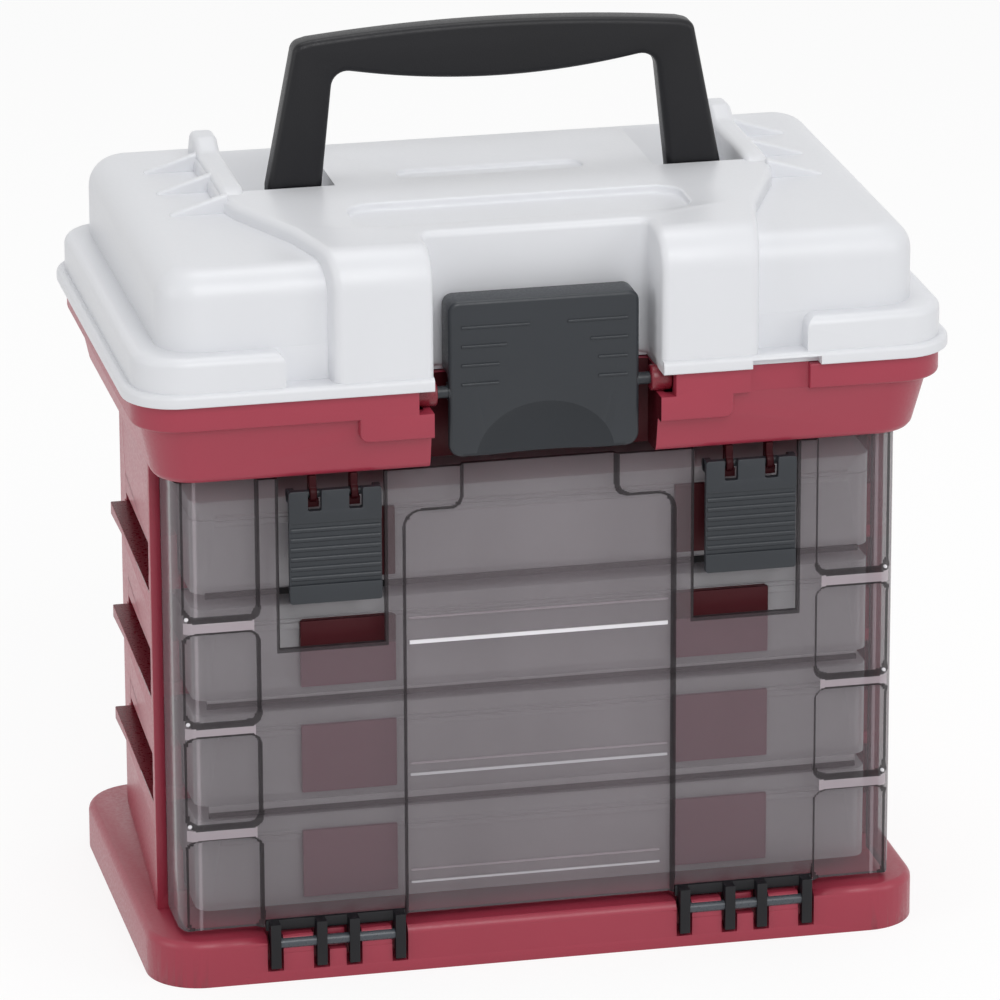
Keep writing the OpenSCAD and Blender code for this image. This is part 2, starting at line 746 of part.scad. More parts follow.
module main_latch() {
    skirt_z = lid_z0 + 1.3;
    y1 = latch_y + latch_skirt;
    r = 3;
    color("#34363a") {
        translate([0, latch_y + latch_t, latch_z0]) rotate([90, 0, 0]) linear_extrude(latch_t) {
            translate([-latch_hw + r, 0]) square([2 * (latch_hw - r), latch_h]);
            translate([-latch_hw, r]) square([2 * latch_hw, latch_h - 2 * r]);
            for (s = SIDES, z = [r, latch_h - r]) translate([s * (latch_hw - r), z]) circle(r);
        }
        for (s = SIDES) {
            side_block(s, latch_hw - latch_t, latch_hw, latch_y + latch_t - eps, y1, skirt_z,
                latch_z1 - r);
            side_bar(s, latch_hw - 7, latch_hw, latch_axis_y + 0.6, latch_axis_z, 3);
            side_bar(s, latch_hw - 7, bay_hw + 1.8, latch_axis_y, latch_axis_z, latch_pin_r);
        }
        block([-latch_hw + r, latch_y + latch_t - eps, latch_z1 - latch_t],
            [latch_hw - r, y1, latch_z1]);
        for (s = SIDES) intersection() {
            side_bar_y(s, latch_hw - r, latch_z1 - r, r, latch_y + latch_t - eps, y1);
            side_block(s, latch_hw - r - eps, latch_hw, latch_y, y1, latch_z1 - r - eps, latch_z1);
        }
    }
}

// Round bar along Y at a side
module side_bar_y(s, x, z, r, y0, y1) {
    translate([s * x, y1, z]) rotate([90, 0, 0]) cylinder(r = r, h = y1 - y0);
}

// ---- door ----

// Plan of the door: a front plate with round corners and two side flanges
module door_plan() {
    r = door_r;
    difference() {
        union() {
            translate([-door_hw + r, door_face_y]) square([2 * door_hw - 2 * r, r]);
            translate([-door_hw, door_face_y + r]) square([2 * door_hw, door_side_d - r]);
            for (s = SIDES) translate([s * (door_hw - r), door_face_y + r]) circle(r);
        }
        translate([-door_hw + r, door_face_y + door_t]) square([2 * door_hw - 2 * r, 60]);
        translate([-door_hw + door_t, door_face_y + r]) square([2 * door_hw - 2 * door_t, 60]);
        for (s = SIDES) translate([s * (door_hw - r), door_face_y + r]) circle(r - door_t);
    }
}

// Raised band between the middle panel and a window column
module door_band(s, x0, z0, z1) {
    side_block(s, x0, window_x, door_band_y, door_band_y + door_t + eps, z0, z1);
    for (x = [x0, window_x - door_t]) side_block(s, x, x + door_t, door_band_y,
        door_face_y + door_t, z0, z1);
}

// The door's face is cut away behind the bands
module band_backs() {
    y0 = door_face_y - 1;
    y1 = door_face_y + door_t + 1;
    for (s = SIDES) {
        side_block(s, panel_hw + door_t, window_x - door_t, y0, y1, door_z0 + door_t,
            neck_z + door_t + eps);
        side_block(s, neck_hw + door_t, window_x - door_t, y0, y1, neck_z + door_t, door_z1 + 1);
    }
}

module door() {
    color("#7d7676", 0.5) difference() {
        union() {
            difference() {
                translate([0, 0, door_z0]) linear_extrude(door_z1 - door_z0) door_plan();
                band_backs();
            }
            for (s = SIDES) {
                door_band(s, panel_hw, door_z0, neck_z + eps);
                door_band(s, neck_hw, neck_z, door_z1);
                for (k = [0:BOXES - 2]) side_block(s, window_x - eps, door_hw - door_r + 2,
                    door_face_y - 1.2, door_face_y + 0.5, door_z0 + window_z + k * window_pitch,
                    door_z0 + window_z + k * window_pitch + 2.2);
            }
        }
        for (s = SIDES) {
            side_block(s, clasp_x - clasp_w / 2 - clasp_room, clasp_x + clasp_w / 2 + clasp_room,
                door_band_y - 2, door_face_y + door_t + 2, clasp_z0 - cut_h, door_z1 + 1);
            side_block(s, clip_x[0] - eps, clip_x[1] + eps, door_band_y - 1,
                door_band_y + clip_t + eps, door_z0 - 1, clip_z + eps);
        }
    }
}

// Clip, fingers and rod of one door hinge
module door_hinge(s) {
    clip_y = door_band_y + clip_t;
    color("#26282b") {
        side_block(s, clip_x[0], clip_x[1], door_band_y, clip_y, door_z0 - 1.4, clip_z);
        for (x = finger_x) {
            x0 = x - finger_w / 2;
            x1 = x + finger_w / 2;
            side_block(s, x0, x1, door_axis_y - hub_r, clip_y, door_axis_z, clip_z);
            side_bar(s, x0, x1, door_axis_y, door_axis_z, hub_r);
            side_block(s, x0, x1, door_axis_y - hub_r, door_axis_y + 0.4,
                door_axis_z - finger_tail, door_axis_z);
        }
        side_bar(s, finger_x[0], finger_x[3], door_axis_y, door_axis_z, door_rod_r);
    }
}

// ---- door latches ----

module door_latch(s) {
    x0 = clasp_x - clasp_w / 2;
    x1 = clasp_x + clasp_w / 2;
    y1 = clasp_y + clasp_t;
    lug_w = 2.2;
    notch = hook_w / 2 + side_gap;
    grooves = 7;
    color("#2b2d31") {
        difference() {
            side_block(s, x0, x1, clasp_y, y1, clasp_z0, clasp_z1);
            for (x = hook_x) side_block(s, x - notch, x + notch, clasp_y - 1, y1 + 1,
                clasp_axis_z - 4.6, clasp_z1 + 1);
            for (i = [0:grooves - 1]) side_block(s, x0 + 0.8, x1 - 0.8, clasp_y - 1,
                clasp_y + 0.6, clasp_z0 + 8 + i * 3.3, clasp_z0 + 9.4 + i * 3.3);
        }
        for (x = [x0, x1 - lug_w]) {
            side_block(s, x, x + lug_w, y1 - eps, clasp_axis_y, clasp_axis_z - clasp_lug_r,
                clasp_axis_z + clasp_lug_r);
            side_bar(s, x, x + lug_w, clasp_axis_y, clasp_axis_z, clasp_lug_r);
        }
        side_bar(s, x0 + 1, x1 - 1, clasp_axis_y, clasp_axis_z, clasp_rod_r);
    }
}

// ---- utility boxes ----

module box_shell(z0, z1) {
    slab(box_w / 2, box_front_y, box_front_y + box_d, z0, z1, 5);
}

// Compartment tray: an outer wall, one long wall and a floor
module box_tray(k) {
    z = box_z0 + k * box_pitch;
    z1 = z + box_h - box_lid_h;
    row_d = (box_d - 3 * box_wall) / 2;
    color("#9b9697", 0.6) difference() {
        union() {
            box_shell(z, z1);
            block([-box_w / 2 + 8, box_front_y - box_rim, z1 - 2.2],
                [box_w / 2 - 8, box_front_y + 1, z1]);
        }
        for (row = [0, 1]) {
            y0 = box_front_y + box_wall + row * (row_d + box_wall);
            slab(box_w / 2 - box_wall, y0, y0 + row_d, z + box_wall, z1 + 1, 3.2);
        }
    }
}

module box_lid(k) {
    z = box_z0 + k * box_pitch + box_h - box_lid_h;
    z1 = z + box_lid_h;
    color("#a5a0a1", 0.6) {
        difference() {
            box_shell(z, z1);
            slab(box_w / 2 - box_wall, box_front_y + box_wall, box_front_y + box_d - box_wall,
                z - 1, z1 - box_wall, 3.2);
        }
        block([-box_w / 2 + 8, box_front_y - box_rim, z], [box_w / 2 - 8, box_front_y + eps,
            z + 1.4]);
    }
}

// The pair of snap latches on the front of a box
module box_latches(k) {
    z = box_z0 + k * box_pitch;
    y1 = box_front_y - box_rim;
    x0 = box_latch_x - box_latch_w / 2;
    x1 = box_latch_x + box_latch_w / 2;
    top = z + box_h - 2.4;
    color("#7a1a28") for (s = SIDES) {
        side_block(s, x0, x1, y1 - 2, y1, z + 2.8, top);
        side_block(s, x0, x1, y1 - eps, box_front_y, top - 2, top);
        side_block(s, x0, x1, y1 - eps, box_front_y, z + 16, z + 18);
    }
}

// Loose dividers that stand across the two rows
module box_dividers(k) {
    z = box_z0 + k * box_pitch;
    z1 = z + box_h - box_lid_h;
    row_d = (box_d - 3 * box_wall) / 2;
    color("#b4b0b1", 0.6) for (row = [0, 1], i = [1:box_dividers]) {
        y0 = box_front_y + box_wall + row * (row_d + box_wall);
        x = (i / (box_dividers + 1) - 0.5) * box_w + (2 * row - 1) * divider_shift;
        block([x - 0.7, y0 + 0.2, z + box_wall], [x + 0.7, y0 + row_d - 0.2, z1 - 0.6]);
    }
}

foot();
rack();
bin();
bin_hooks();
lid_hinge_pins();
lid();
handle_pins();
handle();
main_latch();
door();
door_hinge(-1);  // door_hinge_left
door_hinge(1);  // door_hinge_right
door_latch(-1);  // door_latch_left
door_latch(1);  // door_latch_right
for (k = [0:BOXES - 1]) {
    box_tray(k);
    box_lid(k);
    box_latches(k);
    box_dividers(k);
}
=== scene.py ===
"""Looks of the tackle cabinet: a white lid, a red case, a smoky drop door and four clear boxes."""

import math

import bmesh
import bpy
from bpy.props import FloatProperty, FloatVectorProperty, IntProperty, PointerProperty
from mathutils import Matrix, Vector


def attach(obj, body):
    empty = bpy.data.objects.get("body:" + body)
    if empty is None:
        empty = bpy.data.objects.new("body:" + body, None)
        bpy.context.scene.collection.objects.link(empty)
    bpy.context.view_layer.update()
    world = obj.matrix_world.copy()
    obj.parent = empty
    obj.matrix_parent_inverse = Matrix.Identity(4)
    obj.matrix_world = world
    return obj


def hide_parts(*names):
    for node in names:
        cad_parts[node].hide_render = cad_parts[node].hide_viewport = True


bl_info = {
    "name": "Tackle cabinet",
    "version": (1, 0, 0),
    "blender": (4, 5, 0),
    "location": "3D View > Sidebar > Tackle cabinet",
    "description": "Dresses the packed tackle cabinet with moulded plastic pieces",
    "category": "Object",
}

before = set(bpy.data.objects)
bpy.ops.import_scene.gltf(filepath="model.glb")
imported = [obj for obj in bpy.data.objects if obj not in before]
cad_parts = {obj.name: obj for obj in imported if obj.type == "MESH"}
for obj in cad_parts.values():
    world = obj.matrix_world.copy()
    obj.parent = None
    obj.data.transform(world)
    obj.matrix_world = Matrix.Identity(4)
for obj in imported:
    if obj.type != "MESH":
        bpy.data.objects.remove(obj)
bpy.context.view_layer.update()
MM = 0.001
SIDES = (-1, 1)

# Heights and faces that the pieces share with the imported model, in millimetres
FOOT_TOP = 16.0
BIN_LOW, BIN_TOP = 176.0, 204.7
BIN_WALL = 2.5
MOUTH_Z = 196.0
LID_LOW, RIM_TOP, TIER_TOP, DOME_TOP, SPINE_TOP = 205.0, 209.5, 221.0, 247.0, 252.0
LID_WALL = 2.3
LATCH_FACE_Y = -79.6
DOOR_FACE_Y = -70.8
GRIP_PLAY = 0.7
BOX_LOW, BOX_PITCH = 22.1, 37.0
BOX_FACE_Y = -64.2

# Axes that run from left to right, as (y, z), and where the lid's two hinges stand on theirs
LID_AXIS = (84.0, LID_LOW)
GRIP_AXIS = (5.0, 245.5)
LATCH_AXIS = (-77.1, 201.3)
CLASP_AXIS = (-75.4, 169.5)
DOOR_AXIS = (-75.0, 13.4)
HINGE_X = 78.0
KNUCKLE_R, HINGE_BORE_R = 4.0, 1.55

# The arms of the door latches, and the outer edge of the louvres' floors
ARM_X = (62.6, 76.2)
LOUVRE_X = 124.2

# The lid: the bay of its latch, its dome, its wells, and the hollows in its top, which are given
# by half width, front, back, corner and depth
BAY_HALF, BAY_BACK = 37.6, -65.0
DOME_HALF, DOME_FRONT, DOME_BACK, DOME_R = 125.5, -79.5, 75.0, 13.5
WELL_X, WELL_Z = (54.0, 85.0), 236.0
TOP_DIPS = ((56, -56, -28.5, 9, 2.8), (31.5, -2, 8, 4.9, 1.6))


# ---- sizes and colours that a user would change ----


class TackleSizes(bpy.types.PropertyGroup):
    """Roundings and numbers of like parts"""
    edge: FloatProperty(
        name="Edge", description="Rounding of plain moulded edges", default=0.0006,
        min=0.0001, max=0.002, unit="LENGTH")
    grip_edge: FloatProperty(
        name="Handle edge", description="Rounding of the handle's long edges", default=0.0022,
        min=0.001, max=0.004, unit="LENGTH")
    lid_edge: FloatProperty(
        name="Lid edge", description="Rounding of the raised middle of the lid", default=0.0026,
        min=0.0005, max=0.004, unit="LENGTH")
    latch_edge: FloatProperty(
        name="Latch edge", description="Rounding of the main latch's face", default=0.0012,
        min=0.0004, max=0.002, unit="LENGTH")
    latch_ribs: IntProperty(
        name="Latch ribs", description="Fine ribs at each side of the main latch", default=4,
        min=2, max=5)
    clasp_ribs: IntProperty(
        name="Door latch ribs", description="Ribs across each door latch", default=7, min=3, max=9)
    fins: IntProperty(
        name="Lid fins", description="Fins that brace each ear of the lid", default=3, min=1, max=4)


class TackleColours(bpy.types.PropertyGroup):
    """Colours of the plastics and of the wire"""
    case: FloatVectorProperty(
        name="Case", description="Red of the foot, rack and bin", subtype="COLOR", size=3,
        default=(0.345, 0.034, 0.062), min=0, max=1)
    # Painted shade: a darker red that stands for the case's red where it lies in shade
    hook: FloatVectorProperty(
        name="Dark red", description="Red of the latch arms, ears and bay", subtype="COLOR", size=3,
        default=(0.16, 0.012, 0.022), min=0, max=1)
    lid: FloatVectorProperty(
        name="Lid", description="Pearly white of the lid", subtype="COLOR", size=3,
        default=(0.755, 0.765, 0.795), min=0, max=1)
    grip: FloatVectorProperty(
        name="Handle", description="Black of the handle and hinges", subtype="COLOR", size=3,
        default=(0.006, 0.006, 0.008), min=0, max=1)
    latch: FloatVectorProperty(
        name="Latches", description="Blue-grey black of the latches", subtype="COLOR", size=3,
        default=(0.026, 0.030, 0.036), min=0, max=1)
    smoke: FloatVectorProperty(
        name="Smoke", description="Tint of the clear door", subtype="COLOR", size=3,
        default=(0.25, 0.215, 0.235), min=0, max=1)
    clear: FloatVectorProperty(
        name="Boxes", description="Tint of the clear boxes", subtype="COLOR", size=3,
        default=(0.64, 0.62, 0.65), min=0, max=1)
    snap: FloatVectorProperty(
        name="Box latches", description="Red of the latches of the boxes", subtype="COLOR",
        size=3, default=(0.168, 0.060, 0.085), min=0, max=1)
    steel: FloatVectorProperty(
        name="Steel", description="Colour of the lid's hinge pins", subtype="COLOR", size=3,
        default=(0.55, 0.56, 0.58), min=0, max=1)


# ---- moulded plastic ----


def bare_material(name):
    """A new material, its tree, its principled shader and the piece's own coordinates."""
    mat = bpy.data.materials.new(name)
    mat.use_nodes = True
    tree = mat.node_tree
    tree.nodes.clear()
    out = tree.nodes.new("ShaderNodeOutputMaterial")
    shader = tree.nodes.new("ShaderNodeBsdfPrincipled")
    tree.links.new(shader.outputs["BSDF"], out.inputs["Surface"])
    place = tree.nodes.new("ShaderNodeTexCoord")
    return mat, tree, shader, place.outputs["Object"]


def noise(tree, place, stretch, scale, detail):
    """Noise on the piece's own coordinates, stretched along its axes."""
    mapping = tree.nodes.new("ShaderNodeMapping")
    mapping.inputs["Scale"].default_value = stretch
    tree.links.new(place, mapping.inputs["Vector"])
    tex = tree.nodes.new("ShaderNodeTexNoise")
    tex.inputs["Scale"].default_value = scale
    tex.inputs["Detail"].default_value = detail
    tree.links.new(mapping.outputs["Vector"], tex.inputs["Vector"])
    return tex.outputs["Fac"]


def spread(tree, value, low, high):
    """Noise drawn out from its middle to the range low to high."""
    fit = tree.nodes.new("ShaderNodeMapRange")
    for name, number in (("From Min", 0.3), ("From Max", 0.7), ("To Min", low), ("To Max", high)):
        fit.inputs[name].default_value = number
    tree.links.new(value, fit.inputs["Value"])
    return fit.outputs["Result"]


def tinted(tree, value, dark, light):
    """Colour that wanders between two tints."""
    mix = tree.nodes.new("ShaderNodeMix")
    mix.data_type = "RGBA"
    mix.inputs["A"].default_value = (*dark, 1)
    mix.inputs["B"].default_value = (*light, 1)
    tree.links.new(value, mix.inputs["Factor"])
    return mix.outputs["Result"]


def shade(colour, amount):
    """The colour, made lighter or darker."""
    return tuple(min(1.0, c * amount) for c in colour)


def moulded(name, colour, rough, wander, grain, flow, cloud, pores, shine):
    """Injection-moulded plastic: clouded colour, flow marks, and a fine grain in the gloss."""
    mat, tree, shader, place = bare_material(name)
    marks = spread(tree, noise(tree, place, flow, cloud, 3.0), 0, 1)
    tree.links.new(tinted(tree, marks, shade(colour, 1 - wander), shade(colour, 1 + wander)),
                   shader.inputs["Base Color"])
    fine = noise(tree, place, (1, 1, 1), pores, 2.0)
    tree.links.new(spread(tree, fine, rough - 0.06, rough + 0.06), shader.inputs["Roughness"])
    bump = tree.nodes.new("ShaderNodeBump")
    bump.inputs["Strength"].default_value = grain
    bump.inputs["Distance"].default_value = 0.0004
    tree.links.new(fine, bump.inputs["Height"])
    tree.links.new(bump.outputs["Normal"], shader.inputs["Normal"])
    shader.inputs["IOR"].default_value = 1.49
    shader.inputs["Specular IOR Level"].default_value = shine
    return mat


def see_through(name, colour, face_on, edge_on, rough, shine):
    """Clear plastic: faintly clouded, and denser where it is seen edge on."""
    mat, tree, shader, place = bare_material(name)
    marks = spread(tree, noise(tree, place, (1, 1, 0.35), 30.0, 2.0), 0, 1)
    tree.links.new(tinted(tree, marks, shade(colour, 0.94), shade(colour, 1.06)),
                   shader.inputs["Base Color"])
    fine = noise(tree, place, (1, 1, 1), 500.0, 1.0)
    tree.links.new(spread(tree, fine, rough - 0.03, rough + 0.03), shader.inputs["Roughness"])
    shader.inputs["IOR"].default_value = 1.5
    shader.inputs["Specular IOR Level"].default_value = shine
    facing = tree.nodes.new("ShaderNodeLayerWeight")
    facing.inputs["Blend"].default_value = 0.5
    dense = tree.nodes.new("ShaderNodeMapRange")
    for socket, number in (("To Min", face_on), ("To Max", edge_on)):
        dense.inputs[socket].default_value = number
    tree.links.new(facing.outputs["Facing"], dense.inputs["Value"])
    tree.links.new(dense.outputs["Result"], shader.inputs["Alpha"])
    return mat


def metal(name, colour):
    """Drawn wire: fine scratches round it in the gloss."""
    mat, tree, shader, place = bare_material(name)
    scratch = noise(tree, place, (0.2, 1, 1), 1500.0, 2.0)
    tree.links.new(tinted(tree, scratch, shade(colour, 0.9), shade(colour, 1.1)),
                   shader.inputs["Base Color"])
    tree.links.new(spread(tree, scratch, 0.22, 0.38), shader.inputs["Roughness"])
    shader.inputs["Metallic"].default_value = 1.0
    return mat


# Moulded plastics: tint, its strength, roughness, wander of the colour, grain, then the stretch
# and scale of the flow marks, the scale of the grain, and the shine
EVEN = (1, 1, 1)
MOULDED = {
    "case_red": ("case", 1.0, 0.36, 0.035, 0.05, (1, 1, 0.4), 14.0, 900.0, 0.5),
    # The next four reds are painted shade, for the louvres, the latch arms, the latch bay and the
    # ears
    "deep_red": ("hook", 1.0, 0.30, 0.06, 0.03, EVEN, 20.0, 900.0, 0.5),
    "arm_red": ("hook", 0.20, 0.40, 0.06, 0.03, EVEN, 20.0, 900.0, 0.12),
    "bay_red": ("hook", 0.35, 0.45, 0.06, 0.03, EVEN, 20.0, 900.0, 0.2),
    "ear_red": ("hook", 1.25, 0.28, 0.05, 0.03, EVEN, 30.0, 900.0, 0.5),
    "snap_red": ("snap", 1.0, 0.35, 0.06, 0.03, EVEN, 20.0, 900.0, 0.3),
    "lid_pearl": ("lid", 1.0, 0.36, 0.008, 0.006, (1, 0.3, 0.3), 40.0, 900.0, 0.5),
    "grip_black": ("grip", 1.0, 0.40, 0.10, 0.08, EVEN, 25.0, 1400.0, 0.32),
    "latch_black": ("latch", 1.0, 0.38, 0.06, 0.04, EVEN, 25.0, 1100.0, 0.40),
    # Painted shade, for the thumb scoop of the main latch
    "latch_dip": ("latch", 0.80, 0.42, 0.06, 0.04, EVEN, 25.0, 1100.0, 0.30),
    # Painted highlight, for the black hinge rods of the door
    "rod_grey": ("latch", 2.2, 0.30, 0.06, 0.02, (0.2, 1, 1), 60.0, 900.0, 0.5),
    # Painted shadow, for the gaps between the boxes
    "gap_dark": ((0.008, 0.007, 0.008), 1.0, 0.5, 0.1, 0.0, EVEN, 9.0, 900.0, 0.1),
}

# Clear plastics: tint, its strength, density face on and edge on, roughness and shine
SEE_THROUGH = {
    "smoke_face": ("smoke", 1.0, 0.24, 0.78, 0.12, 0.30),
    # Painted light: a paler, denser copy of the smoke over the middle panel
    "smoke_panel": ("smoke", 1.15, 0.29, 0.78, 0.12, 0.30),
    "smoke_back": ("smoke", 1.0, 0.10, 0.30, 0.12, 0.5),
    # Painted shade for steep faces, then painted highlights for ridges and corner strips
    "smoke_edge": ("smoke", 0.16, 0.82, 0.94, 0.35, 0.10),
    "smoke_ridge": ("smoke", 1.9, 0.70, 0.85, 0.12, 0.5),
    "smoke_pale": ("smoke", 2.0, 0.34, 0.80, 0.12, 0.5),
    # Painted reflections, for the lines and beads on the door
    "line_white": ((0.86, 0.84, 0.88), 1.0, 0.95, 0.98, 0.12, 0.5),
    "line_soft": ((0.62, 0.60, 0.64), 1.0, 0.62, 0.75, 0.12, 0.5),
    "box_clear": ("clear", 1.0, 0.40, 0.78, 0.12, 0.5),
}


def finish(name):
    """The material of that name, made once."""
    if name in bpy.data.materials:
        return bpy.data.materials[name]
    hues = bpy.context.scene.tackle_colours
    if name == "pin_steel":
        return metal(name, hues.steel)
    make, table = (moulded, MOULDED) if name in MOULDED else (see_through, SEE_THROUGH)
    tint, strength, *looks = table[name]
    colour = getattr(hues, tint) if isinstance(tint, str) else tint
    return make(name, shade(colour, strength), *looks)


# ---- making and finishing meshes ----


def link(obj):
    """The object, put into the scene."""
    bpy.context.scene.collection.objects.link(obj)
    return obj


def solid(name, bm, *mats):
    """An object from a bmesh in millimetres, its faces turned outward."""
    bmesh.ops.recalc_face_normals(bm, faces=bm.faces)
    mesh = bpy.data.meshes.new(name)
    bm.to_mesh(mesh)
    bm.free()
    mesh.transform(Matrix.Scale(MM, 4))
    obj = link(bpy.data.objects.new(name, mesh))
    for mat in mats:
        mesh.materials.append(finish(mat))
    return obj


def settle(obj):
    """The object with its modifiers worked into a plain mesh."""
    bpy.context.view_layer.update()
    graph = bpy.context.evaluated_depsgraph_get()
    old = obj.data
    mesh = bpy.data.meshes.new_from_object(obj.evaluated_get(graph), depsgraph=graph)
    obj.modifiers.clear()
    obj.data = mesh
    mesh.name = obj.name
    if old.users == 0:
        bpy.data.meshes.remove(old)
    return obj


def tidy_mesh(obj, angle=0.6):
    """Welds loose triangles and joins those that lie in one plane."""
    bm = bmesh.new()
    bm.from_mesh(obj.data)
    bmesh.ops.remove_doubles(bm, verts=bm.verts, dist=4e-6)
    bmesh.ops.dissolve_limit(bm, angle_limit=math.radians(angle), verts=bm.verts, edges=bm.edges)
    bm.to_mesh(obj.data)
    bm.free()
    return obj


def smooth(obj, angle=38):
    """Shades the piece smooth, apart from edges sharper than the angle."""
    for p in obj.data.polygons:
        p.use_smooth = True
    obj.data.set_sharp_from_angle(angle=math.radians(angle))
    return obj


def crease(obj):
    """Keeps the faint edge where a shallow hollow meets a flat front."""
    least = math.radians(6)
    bm = bmesh.new()
    bm.from_mesh(obj.data)
    for e in bm.edges:
        if len(e.link_faces) == 2 and e.calc_face_angle(0) > least:
            front, hollow = sorted(f.normal.y for f in e.link_faces)
            if front < -0.9999 and hollow < -0.9:
                e.smooth = False
    bm.to_mesh(obj.data)
    bm.free()
    return obj


def round_edges(obj, width, segments=2, angle=35, clamp=True):
    """Rounds the edges that are sharper than the angle."""
    bevel = obj.modifiers.new("round", "BEVEL")
    bevel.width = width
    bevel.segments = segments
    bevel.limit_method = "ANGLE"
    bevel.angle_limit = math.radians(angle)
    bevel.use_clamp_overlap = clamp
    bevel.miter_outer = "MITER_ARC"
    bevel.harden_normals = False
    return settle(obj)


def cut_or_join(obj, others, how):
    """Takes the others out of the object, or joins them to it."""
    for other in others:
        step = obj.modifiers.new("solids", "BOOLEAN")
        step.operation = how
        step.solver = "EXACT"
        step.object = other
    settle(obj)
    for other in others:
        bpy.data.objects.remove(other)
    return obj


def joined(obj, *others):
    """One object from several that ride together."""
    bm = bmesh.new()
    for o in (obj, *others):
        start = len(bm.faces)
        bm.from_mesh(o.data)
        bm.faces.ensure_lookup_table()
        slots = list(o.data.materials)
        for face in bm.faces[start:]:
            mat = slots[face.material_index]
            if mat.name not in obj.data.materials:
                obj.data.materials.append(mat)
            face.material_index = obj.data.materials.find(mat.name)
    bm.to_mesh(obj.data)
    bm.free()
    for o in others:
        bpy.data.objects.remove(o)
    return obj


def mirrored(obj, name):
    """The same piece on the other side."""
    mesh = obj.data.copy()
    mesh.transform(Matrix.Scale(-1, 4, (1, 0, 0)))
    mesh.flip_normals()
    return link(bpy.data.objects.new(name, mesh))


def placed(obj, body, slot, *nodes):
    """The piece rides on its body and stands for its nodes; its slot is not used."""
    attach(obj, body)
    if nodes:
        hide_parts(*nodes)
    return obj


def cad_copy(node, name, mat, edge):
    """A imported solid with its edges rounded."""
    obj = link(bpy.data.objects.new(name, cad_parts[node].data.copy()))
    obj.data.materials.clear()
    obj.data.materials.append(finish(mat))
    tidy_mesh(obj)
    if edge:
        round_edges(obj, edge)
    return smooth(obj)


# ---- outlines ----


def arc(cx, cy, r, a0, a1, n):
    """Points on an arc, in degrees."""
    turns = [math.radians(a0 + (a1 - a0) * i / n) for i in range(n + 1)]
    return [(cx + r * math.cos(t), cy + r * math.sin(t)) for t in turns]


def filleted(corners, n):
    """A polygon whose corners, given as (x, y, radius), are rounded."""
    out = []
    for i, (x, y, r) in enumerate(corners):
        p = Vector((x, y))
        a = Vector(corners[i - 1][:2]) - p
        b = Vector(corners[(i + 1) % len(corners)][:2]) - p
        if r <= 0:
            out.append((x, y))
            continue
        half = a.angle(b) / 2
        reach = min(r / math.tan(half), a.length * 0.49, b.length * 0.49)
        r = reach * math.tan(half)
        middle = p + (a.normalized() + b.normalized()).normalized() * (r / math.sin(half))
        start = p + a.normalized() * reach - middle
        turn = start.angle_signed(p + b.normalized() * reach - middle)
        for k in range(n + 1):
            t = -turn * k / n
            out.append((middle.x + start.x * math.cos(t) - start.y * math.sin(t),
                        middle.y + start.x * math.sin(t) + start.y * math.cos(t)))
    return out


def prism(points, axis, low, high):
    """A straight solid along an axis; the points are in the other two axes, in order."""
    def at(p, d):
        return {"X": (d, *p), "Y": (p[0], d, p[1]), "Z": (*p, d)}[axis]
    bm = bmesh.new()
    ends = [[bm.verts.new(at(p, d)) for p in points] for d in (low, high)]
    n = len(points)
    bm.faces.new(ends[0])
    bm.faces.new(ends[1])
    for i in range(n):
        j = (i + 1) % n
        bm.faces.new((ends[0][i], ends[0][j], ends[1][j], ends[1][i]))
    return bm


def block(lo, hi):
    """A block between its two corners."""
    return prism([(lo[0], lo[1]), (hi[0], lo[1]), (hi[0], hi[1]), (lo[0], hi[1])], "Z",
                 lo[2], hi[2])


def span(s, x0, x1):
    """A stretch of X on the left (-1) or the right (1), its lower end first."""
    return sorted((s * x0, s * x1))


def side_block(s, x0, x1, y0, y1, z0, z1):
    """A block on the left or the right."""
    a, b = span(s, x0, x1)
    return block((a, y0, z0), (b, y1, z1))


def tool(bm):
    """A throw-away solid for cutting."""
    return solid("tool", bm)


def round_rect(hw, y0, y1, r, n=10):
    """A rectangle with round corners, by its half width."""
    return (arc(hw - r, y0 + r, r, -90, 0, n) + arc(hw - r, y1 - r, r, 0, 90, n)
            + arc(-hw + r, y1 - r, r, 90, 180, n) + arc(-hw + r, y0 + r, r, 180, 270, n))


def stacked(rings):
    """A closed solid through rings of as many points each, from the lowest up."""
    bm = bmesh.new()
    rows = [[bm.verts.new(p) for p in ring] for ring in rings]
    bm.faces.new(rows[0])
    bm.faces.new(rows[-1])
    n = len(rows[0])
    for low, high in zip(rows, rows[1:]):
        for i in range(n):
            j = (i + 1) % n
            bm.faces.new((low[i], low[j], high[j], high[i]))
    return bm


def cushion(hw, y0, y1, z0, z1, r, top, low=0.0, n=10, steps=8):
    """A slab with round corners whose top and bottom edges are rounded."""
    levels = []
    if low:
        levels += [(z0 + low - low * math.sin(a), low - low * math.cos(a))
                   for a in (math.pi / 2 * (1 - i / 4) for i in range(5))]
    else:
        levels.append((z0, 0.0))
    levels += [(z1 - top + top * math.sin(a), top - top * math.cos(a))
               for a in (math.pi / 2 * i / steps for i in range(steps + 1))]
    return stacked([[(x, y, z) for x, y in round_rect(hw - d, y0 + d, y1 - d, max(r - d, 0.3), n)]
                    for z, d in levels])


def hull(points):
    """The convex solid round the points."""
    bm = bmesh.new()
    for p in points:
        bm.verts.new(p)
    made = bmesh.ops.convex_hull(bm, input=bm.verts)
    spare = [g for g in made["geom_interior"] + made["geom_unused"]
             if isinstance(g, bmesh.types.BMVert)]
    bmesh.ops.delete(bm, geom=list(set(spare)), context="VERTS")
    bmesh.ops.dissolve_limit(bm, angle_limit=math.radians(0.5), verts=bm.verts, edges=bm.edges)
    return bm


